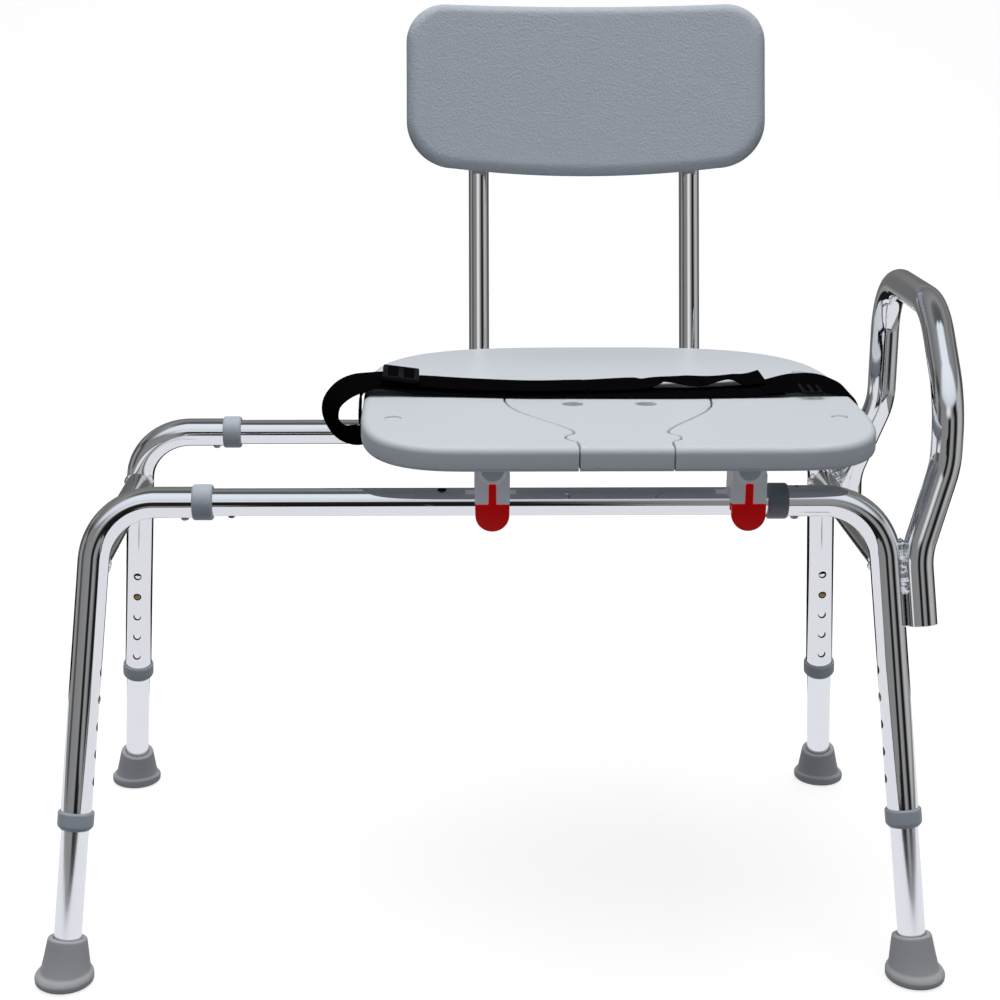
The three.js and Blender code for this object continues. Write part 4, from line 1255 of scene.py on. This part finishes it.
# end straps. Columns: x, y, height over the seat's top, then the x and z of the way across (y is 1)
# left: out from under the seat, round in a loose loop and up over the edge to the slider
LEFT_STRAP = [
    (-40, 4, -25.1, 0, 0), (-86, 4, -25.9, 0, 0), (-106, 4, -34, 0, -0.55),
    (-122, 4, -41, -0.14, -0.80), (-136, 4, -40, -0.34, -0.62), (-146.5, 4, -33, -0.44, -0.26),
    (-152.0, 5, -21.5, -0.42, 0), (-149.5, 6, -8, -0.36, 0.08), (-138.5, 8, 3, -0.25, 0.20),
    (-122, 13, 9.5, -0.08, 0.2), (-104, 20, 12.5, 0, 0.04), (-86, 24, 11.5, 0, 0),
    (-72, 23, 8.5, 0, 0),
]
# right: up through the ring, over the edge and back under the seat
RIGHT_STRAP = [
    (268, 3, 4.8, 0, 0.03), (286, 5, 7.2, 0, 0.12), (303, 7, 8.8, 0, 0.19),
    (322, 8, 8.8, 0, 0.20), (338, 9, 6.0, 0, 0.15), (351, 10, 1.4, 0, 0.04),
    (358.8, 10, -8, 0, 0), (359.6, 10, -17.5, 0, 0), (354, 10, -24.1, 0, 0),
    (342, 10, -25.5, 0, 0), (300, 10, -25.1, 0, 0),
]


def strap(name, centres, across, width, ripple=None):
    """Webbing along a path; ripple(place across, length) lifts it. UVs are in metres."""
    count = len(centres)
    tangents = np.gradient(centres, axis=0)
    tangents /= np.linalg.norm(tangents, axis=1)[:, None]
    across = across - (across * tangents).sum(1)[:, None] * tangents
    across /= np.linalg.norm(across, axis=1)[:, None]
    normals = np.cross(tangents, across)
    length = np.concatenate([[0], np.cumsum(np.linalg.norm(np.diff(centres, axis=0), axis=1))])
    width = np.broadcast_to(np.asarray(width, float), (count,))
    section = [(-0.5 + k / STRAP_COLUMNS, 0.5) for k in range(STRAP_COLUMNS + 1)]
    section += [(0.5 - k / STRAP_COLUMNS, -0.5) for k in range(STRAP_COLUMNS + 1)]
    verts, uvs = [], []
    for i in range(count):
        for place, face in section:
            # the two edges thin to a quarter
            thick = STRAP_T * (0.25 if abs(place) == 0.5 else 1.0)
            point = centres[i] + across[i] * (place * width[i]) + normals[i] * (face * thick)
            if ripple is not None:
                point = point + ripple(place, length[i]) * normals[i]
            verts.append(point)
            uvs.append((place * width[i] * MM, length[i] * MM))
    sides = len(section)
    faces = bands(count, sides)
    faces.append(tuple(range(sides)))
    faces.append(tuple((count - 1) * sides + k for k in range(sides - 1, -1, -1)))
    ob = make(name, verts, faces, WEB, 60.0, uvs)
    fix_normals(ob, 60.0)
    return ob


def lap_strap(layer, side, rows, ripple, seed):
    """Half of a lap layer, lying on the seat with shallow random ripples."""
    rows = [tuple(row) + (0.0,) * (5 - len(row)) for row in rows]
    table = catmull(np.array(rows) + vec(0, 0, SEAT_TOP, 0, 0), 10)
    across = np.column_stack([np.zeros(len(table)), np.ones(len(table)), table[:, 4]])
    phase = np.random.default_rng(seed).uniform(0, 6.28, 3)

    def lift(place, length):
        long_wave = math.sin(length * 0.021 + phase[0] + place * 1.4)
        return ripple * (long_wave + 0.5 * math.sin(length * 0.049 + phase[1] - place * 2.0))

    ob = strap(f"belt_lap_{layer}_{side}", table[:, :3], across, table[:, 3], lift)
    move_to_cad(ob)
    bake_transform(ob)
    if (layer, side) == ("lower", "left"):
        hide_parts("belt_lap_strap")


def end_strap(side, rows):
    table = catmull(np.array(rows) + vec(0, 0, SEAT_TOP, 0, 0), 8)
    across = np.column_stack([table[:, 3], np.ones(len(table)), table[:, 4]])
    attach(strap(f"belt_{side}_strap_look", table[:, :3], across, STRAP_W), "seat")


def buckle(name, centre, width, length, bar, thick, tilt, roll, material):
    """A flat frame of width (Y) and length (X) with a middle bar."""
    low, high = (-length / 2, -width / 2, -thick / 2), (length / 2, width / 2, thick / 2)
    outer = box(name, low, high, material)
    bevel(outer, min(thick * 0.45, 1.6), 3)
    inner, half_w = length / 2 - bar, width / 2 - bar
    boolean(
        outer,
        box("cutter", (-inner, -half_w, -thick), (-bar * 0.5, half_w, thick), material),
        box("cutter", (bar * 0.5, -half_w, -thick), (inner, half_w, thick), material),
    )
    bevel(outer, 0.5, 2, 50)
    pose(outer, centre, Matrix.Rotation(roll, 4, "X") @ Matrix.Rotation(tilt, 4, "Y"))
    smooth(outer, 35.0)
    attach(outer, "seat")


def belt_slider():
    """The left slider, its two windows filled by the strap's turn over the middle bar."""
    centre, tilt = vec(-83, 23, 519.6), 0.13
    name = "belt_slider_left_look"
    buckle(name, centre, 58, 36, bar=5.0, thick=4.6, tilt=tilt, roll=0.0, material=BLACK)
    for k, dx in enumerate((-7.6, 7.6)):
        fill = box(f"belt_slider_fill_{k}", (-5.6, -24.2, -1.3), (5.6, 24.2, 1.9), WEB)
        bevel(fill, 0.9, 3)
        pose(fill, centre + vec(dx, 0, -tilt * dx), Matrix.Rotation(tilt, 4, "Y"))
        smooth(fill, 40.0)
        attach(fill, "seat")


def belt_ring():
    centre, name = vec(313, -5, SEAT_TOP + 6.9), "belt_ring_right_look"
    buckle(name, centre, 44, 20, bar=3.0, thick=3.2, tilt=0.04, roll=0.05, material=RING)


lap_strap("lower", "left", LOWER_LEFT, ripple=0.25, seed=2)
lap_strap("lower", "right", LOWER_RIGHT, ripple=0.25, seed=2)
lap_strap("upper", "left", UPPER_LEFT, ripple=0.35, seed=5)
lap_strap("upper", "right", UPPER_RIGHT, ripple=0.35, seed=5)
end_strap("left", LEFT_STRAP)
end_strap("right", RIGHT_STRAP)
belt_slider()
belt_ring()

# ------------------------------------------------------------------ world
# matt surfaces: (height, color), a cool dim room below a brighter sky
SOFT_ROOM = [
    (0.0, (0.078, 0.085, 0.10)), (0.48, (0.118, 0.128, 0.150)),
    (0.60, (0.165, 0.178, 0.205)), (1.0, (0.25, 0.265, 0.295)),
]
# bright tubes: grey levels by direction round the bench, in degrees from the camera's side, right
# positive. HORIZON lies near the horizon, BAND above it; FRONT picks SKY over DIM higher up.
HORIZON = [
    (-180, 0.18), (-128, 0.12), (-118, 0.02), (-111, 0.30), (-92, 0.30), (-82, 0.08),
    (-72, 0.08), (-64, 0.24), (-20, 0.27), (-14, 0.24), (-9, 0.012), (3, 0.012), (8, 0.24),
    (14, 0.33), (26, 0.26), (34, 0.03), (38, 0.01), (50, 0.01), (57, 0.26), (66, 0.50),
    (92, 0.46), (108, 0.22), (120, 0.02), (130, 0.12), (180, 0.18),
]
BAND = [
    (-180, 0.22), (-112, 0.30), (-104, 0.10), (-96, 0.05), (-84, 0.05), (-74, 0.24),
    (-34, 0.24), (-24, 0.60), (-16, 0.90), (-4, 0.80), (6, 0.50), (15, 0.26), (24, 0.12),
    (31, 0.01), (46, 0.01), (55, 0.34), (64, 0.52), (100, 0.46), (116, 0.26), (180, 0.22),
]
FRONT = [(-180, 0.0), (-78, 0.0), (-55, 1.0), (50, 1.0), (72, 0.0), (180, 0.0)]
# grey levels by height of the direction: SKY is tinted cool, LOW runs from straight down (0) to level (0.5)
SKY = [
    (0.0, 0.40), (0.32, 0.42), (0.45, 0.70), (0.62, 0.86), (0.90, 0.95), (0.985, 0.92),
    (0.994, 0.12), (1.0, 0.10),
]
SKY_TINT = (0.92, 0.98, 1.06)
DIM = [(0.0, 0.16), (0.35, 0.14), (0.60, 0.20), (0.84, 0.28), (0.93, 0.14), (1.0, 0.10)]
LOW = [(0.0, 0.55), (0.25, 0.40), (0.45, 0.26), (0.5, 0.26)]
PALE_GROUND = (0.955, 0.955, 0.95, 1)


def color_ramp(tree, source, stops):
    ramp = node(tree, "ShaderNodeValToRGB", {0: source})
    elements = ramp.color_ramp.elements
    while len(elements) > 1:
        elements.remove(elements[-1])
    elements[0].position = stops[0][0]
    elements[0].color = (*stops[0][1], 1)
    for position, color in stops[1:]:
        elements.new(position).color = (*color, 1)
    return ramp.outputs[0]


def tinted(stops, tint=(1, 1, 1)):
    return [(position, tuple(level * part for part in tint)) for position, level in stops]


def by_degrees(stops):
    return tinted([(0.5 + degrees / 360.0, level) for degrees, level in stops])


def mix_colors(tree, factor, first, second):
    inputs = {"Factor": factor, "A": first, "B": second}
    return node(tree, "ShaderNodeMix", inputs, data_type="RGBA").outputs["Result"]


def background(tree, color):
    return node(tree, "ShaderNodeBackground", {0: color, 1: 1.0}).outputs[0]


def mirrored_room(tree, x, y, z, height):
    """The room that glossy surfaces see, blended from four levels of height."""
    angle = calc(tree, "ARCTAN2", x, calc(tree, "MULTIPLY", y, -1.0))
    turn = calc(tree, "ADD", calc(tree, "DIVIDE", angle, 2 * math.pi), 0.5)
    horizon = color_ramp(tree, turn, by_degrees(HORIZON))
    sky = color_ramp(tree, z, tinted(SKY, SKY_TINT))
    dim = color_ramp(tree, z, tinted(DIM))
    front = color_ramp(tree, turn, by_degrees(FRONT))
    upper = mix_colors(tree, front, dim, sky)
    band = color_ramp(tree, turn, by_degrees(BAND))
    low = color_ramp(tree, height, tinted(LOW))

    def blend(start, end, first, second):
        factor = map_range(tree, z, start, end, interpolation="SMOOTHSTEP")
        return mix_colors(tree, factor, first, second)

    level = blend(0.38, 0.50, blend(0.20, 0.33, horizon, band), upper)
    return blend(-0.16, -0.30, level, low)


def build_world():
    world = bpy.data.worlds.new("studio")
    bpy.context.scene.world = world
    world.use_nodes = True
    tree = world.node_tree
    tree.nodes.clear()
    way = node(tree, "ShaderNodeTexCoord").outputs["Generated"]
    x, y, z = node(tree, "ShaderNodeSeparateXYZ", {0: way}).outputs
    soft_color = color_ramp(tree, map_range(tree, z, -1.0, 1.0), SOFT_ROOM)
    soft = background(tree, soft_color)
    room = background(tree, mirrored_room(tree, x, y, z, map_range(tree, z, -1.0, 1.0)))
    rays = node(tree, "ShaderNodeLightPath").outputs
    lit = node(tree, "ShaderNodeMixShader", {0: rays["Is Glossy Ray"], 1: soft, 2: room})
    # past the edge of the floor the camera sees the same pale ground
    pale = background(tree, PALE_GROUND)
    inputs = {0: rays["Is Camera Ray"], 1: lit.outputs[0], 2: pale}
    seen = node(tree, "ShaderNodeMixShader", inputs)
    node(tree, "ShaderNodeOutputWorld", {0: seen.outputs[0]})


build_world()

# ------------------------------------------------------------------ floor and reflected cards
FLOOR_Z, FLOOR_FRONT, FLOOR_BACK, FLOOR_HALF = -0.0008, -1.12, 1.4, 7.0
WALL_BEND, WALL_TOP = 2.2, 6.0


def stage_object(name, verts, faces, material):
    mesh = bpy.data.meshes.new(name)
    mesh.from_pydata(verts, [], faces)
    ob = bpy.data.objects.new(name, mesh)
    bpy.context.scene.collection.objects.link(ob)
    mesh.materials.append(material)
    ob.visible_diffuse = False
    return ob


def build_floor():
    """A plain pale floor that curves up into the wall behind."""
    glow = ((1.0, 0.995, 0.985), 0.80)
    material = plain("floor", (0.34, 0.34, 0.34), roughness=0.9, specular=0.0, glow=glow)
    profile = [(FLOOR_FRONT, FLOOR_Z), (FLOOR_BACK, FLOOR_Z)]
    for angle in np.linspace(0, math.pi / 2, 25)[1:]:
        y = FLOOR_BACK + WALL_BEND * math.sin(angle)
        profile.append((y, FLOOR_Z + WALL_BEND * (1 - math.cos(angle))))
    profile.append((FLOOR_BACK + WALL_BEND, WALL_TOP))
    ends = (-FLOOR_HALF, FLOOR_HALF)
    verts = [(x + SHIFT.x, y + SHIFT.y, z) for y, z in profile for x in ends]
    faces = [(2 * i, 2 * i + 1, 2 * i + 3, 2 * i + 2) for i in range(len(profile) - 1)]
    floor = stage_object("floor", verts, faces, material)
    floor.data.polygons.foreach_set("use_smooth", [True] * len(floor.data.polygons))
    floor.visible_glossy = False


def emitter(name, strength, color=(1, 1, 1)):
    material = bpy.data.materials.new(name)
    material.use_nodes = True
    tree = material.node_tree
    tree.nodes.clear()
    light = node(tree, "ShaderNodeEmission", {0: (*color, 1), 1: strength})
    node(tree, "ShaderNodeOutputMaterial", {0: light.outputs[0]})
    return material


def card(name, centre, half_u, half_v, material):
    """A rectangle that only reflections see, from its centre and two half edges."""
    centre, half_u, half_v = vec(*centre) + np.array(SHIFT), vec(*half_u), vec(*half_v)
    corners = [(-1, -1), (1, -1), (1, 1), (-1, 1)]
    verts = [tuple(centre + u * half_u + v * half_v) for u, v in corners]
    ob = stage_object(name, verts, [(0, 1, 2, 3)], material)
    ob.visible_camera = False
    ob.visible_shadow = False


build_floor()
DARK = emitter("flag", 0.01)
MID = emitter("flag_mid", 0.26)
WHITE = emitter("card_white", 0.86, (0.97, 0.98, 1.02))
# level cards: name, centre, half sizes in X and Y, material. A white floor round the bench, dark
# patches in front of and behind it, and a grey floor beneath them all
for name, centre, half_x, half_y, material in (
    ("floor_white", (0, -0.32, 0.0015), 1.25, 0.80, WHITE),
    ("edge_front", (0, -1.22, 0.002), 1.6, 0.10, DARK),
    ("column_front", (-0.05, -2.15, 0.002), 0.34, 0.84, DARK),
    ("column_far", (-0.05, -7.5, 0.003), 0.60, 4.5, DARK),
    ("edge_back", (0, 0.89, 0.002), 1.9, 0.41, DARK),
    ("room_floor", (0, 0.0, 0.0005), 2.0, 1.9, MID),
):
    card(name, centre, (half_x, 0, 0), (0, half_y, 0), material)
# an upright white card between the left and right legs, below the rails
card("card_middle", (-0.056, 0.03, 0.20), (0, 0.42, 0), (0, 0, 0.20), WHITE)


# ------------------------------------------------------------------ light and camera
def top_light(size=3.6, power=100):
    """A square soft light overhead, pointing straight down."""
    light = bpy.data.lights.new("top", "AREA")
    light.energy = power
    light.shape = "RECTANGLE"
    light.size = size
    light.size_y = size
    ob = bpy.data.objects.new("top", light)
    place, target = Vector((0.0, 0.0, 3.2)), Vector((0.0, 0.0, 0.4))
    ob.location = place + SHIFT
    ob.rotation_euler = (target - place).to_track_quat("-Z", "Y").to_euler()
    ob.visible_glossy = False
    bpy.context.scene.collection.objects.link(ob)


def build_camera():
    """A camera in front of the bench, looking back and a little down at it."""
    place = (-0.0556572, -1.8062659, 0.9009177)
    pitch, yaw, roll = 0.2667, -0.0084, -0.0004
    lens = bpy.data.cameras.new("camera")
    lens.sensor_fit = "HORIZONTAL"
    lens.sensor_width = 36.0
    lens.lens = 68.4
    lens.shift_x, lens.shift_y = 0.0555443, -0.0094564
    lens.clip_start, lens.clip_end = 0.05, 60.0
    camera = bpy.data.objects.new("camera", lens)
    bpy.context.scene.collection.objects.link(camera)
    level = math.cos(pitch)
    forward = vec(-math.sin(yaw) * level, math.cos(yaw) * level, -math.sin(pitch))
    right = vec(math.cos(yaw), math.sin(yaw), 0)
    up = np.cross(right, forward)
    rolled_right = math.cos(roll) * right + math.sin(roll) * up
    rolled_up = -math.sin(roll) * right + math.cos(roll) * up
    matrix = Matrix.Identity(4)
    for i in range(3):
        matrix[i][0], matrix[i][1], matrix[i][2] = rolled_right[i], rolled_up[i], -forward[i]
        matrix[i][3] = place[i] + SHIFT[i]
    camera.matrix_world = matrix
    bpy.context.scene.camera = camera


top_light()
build_camera()
bpy.context.scene.view_settings.view_transform = "Standard"
bpy.context.scene.view_settings.look = "None"
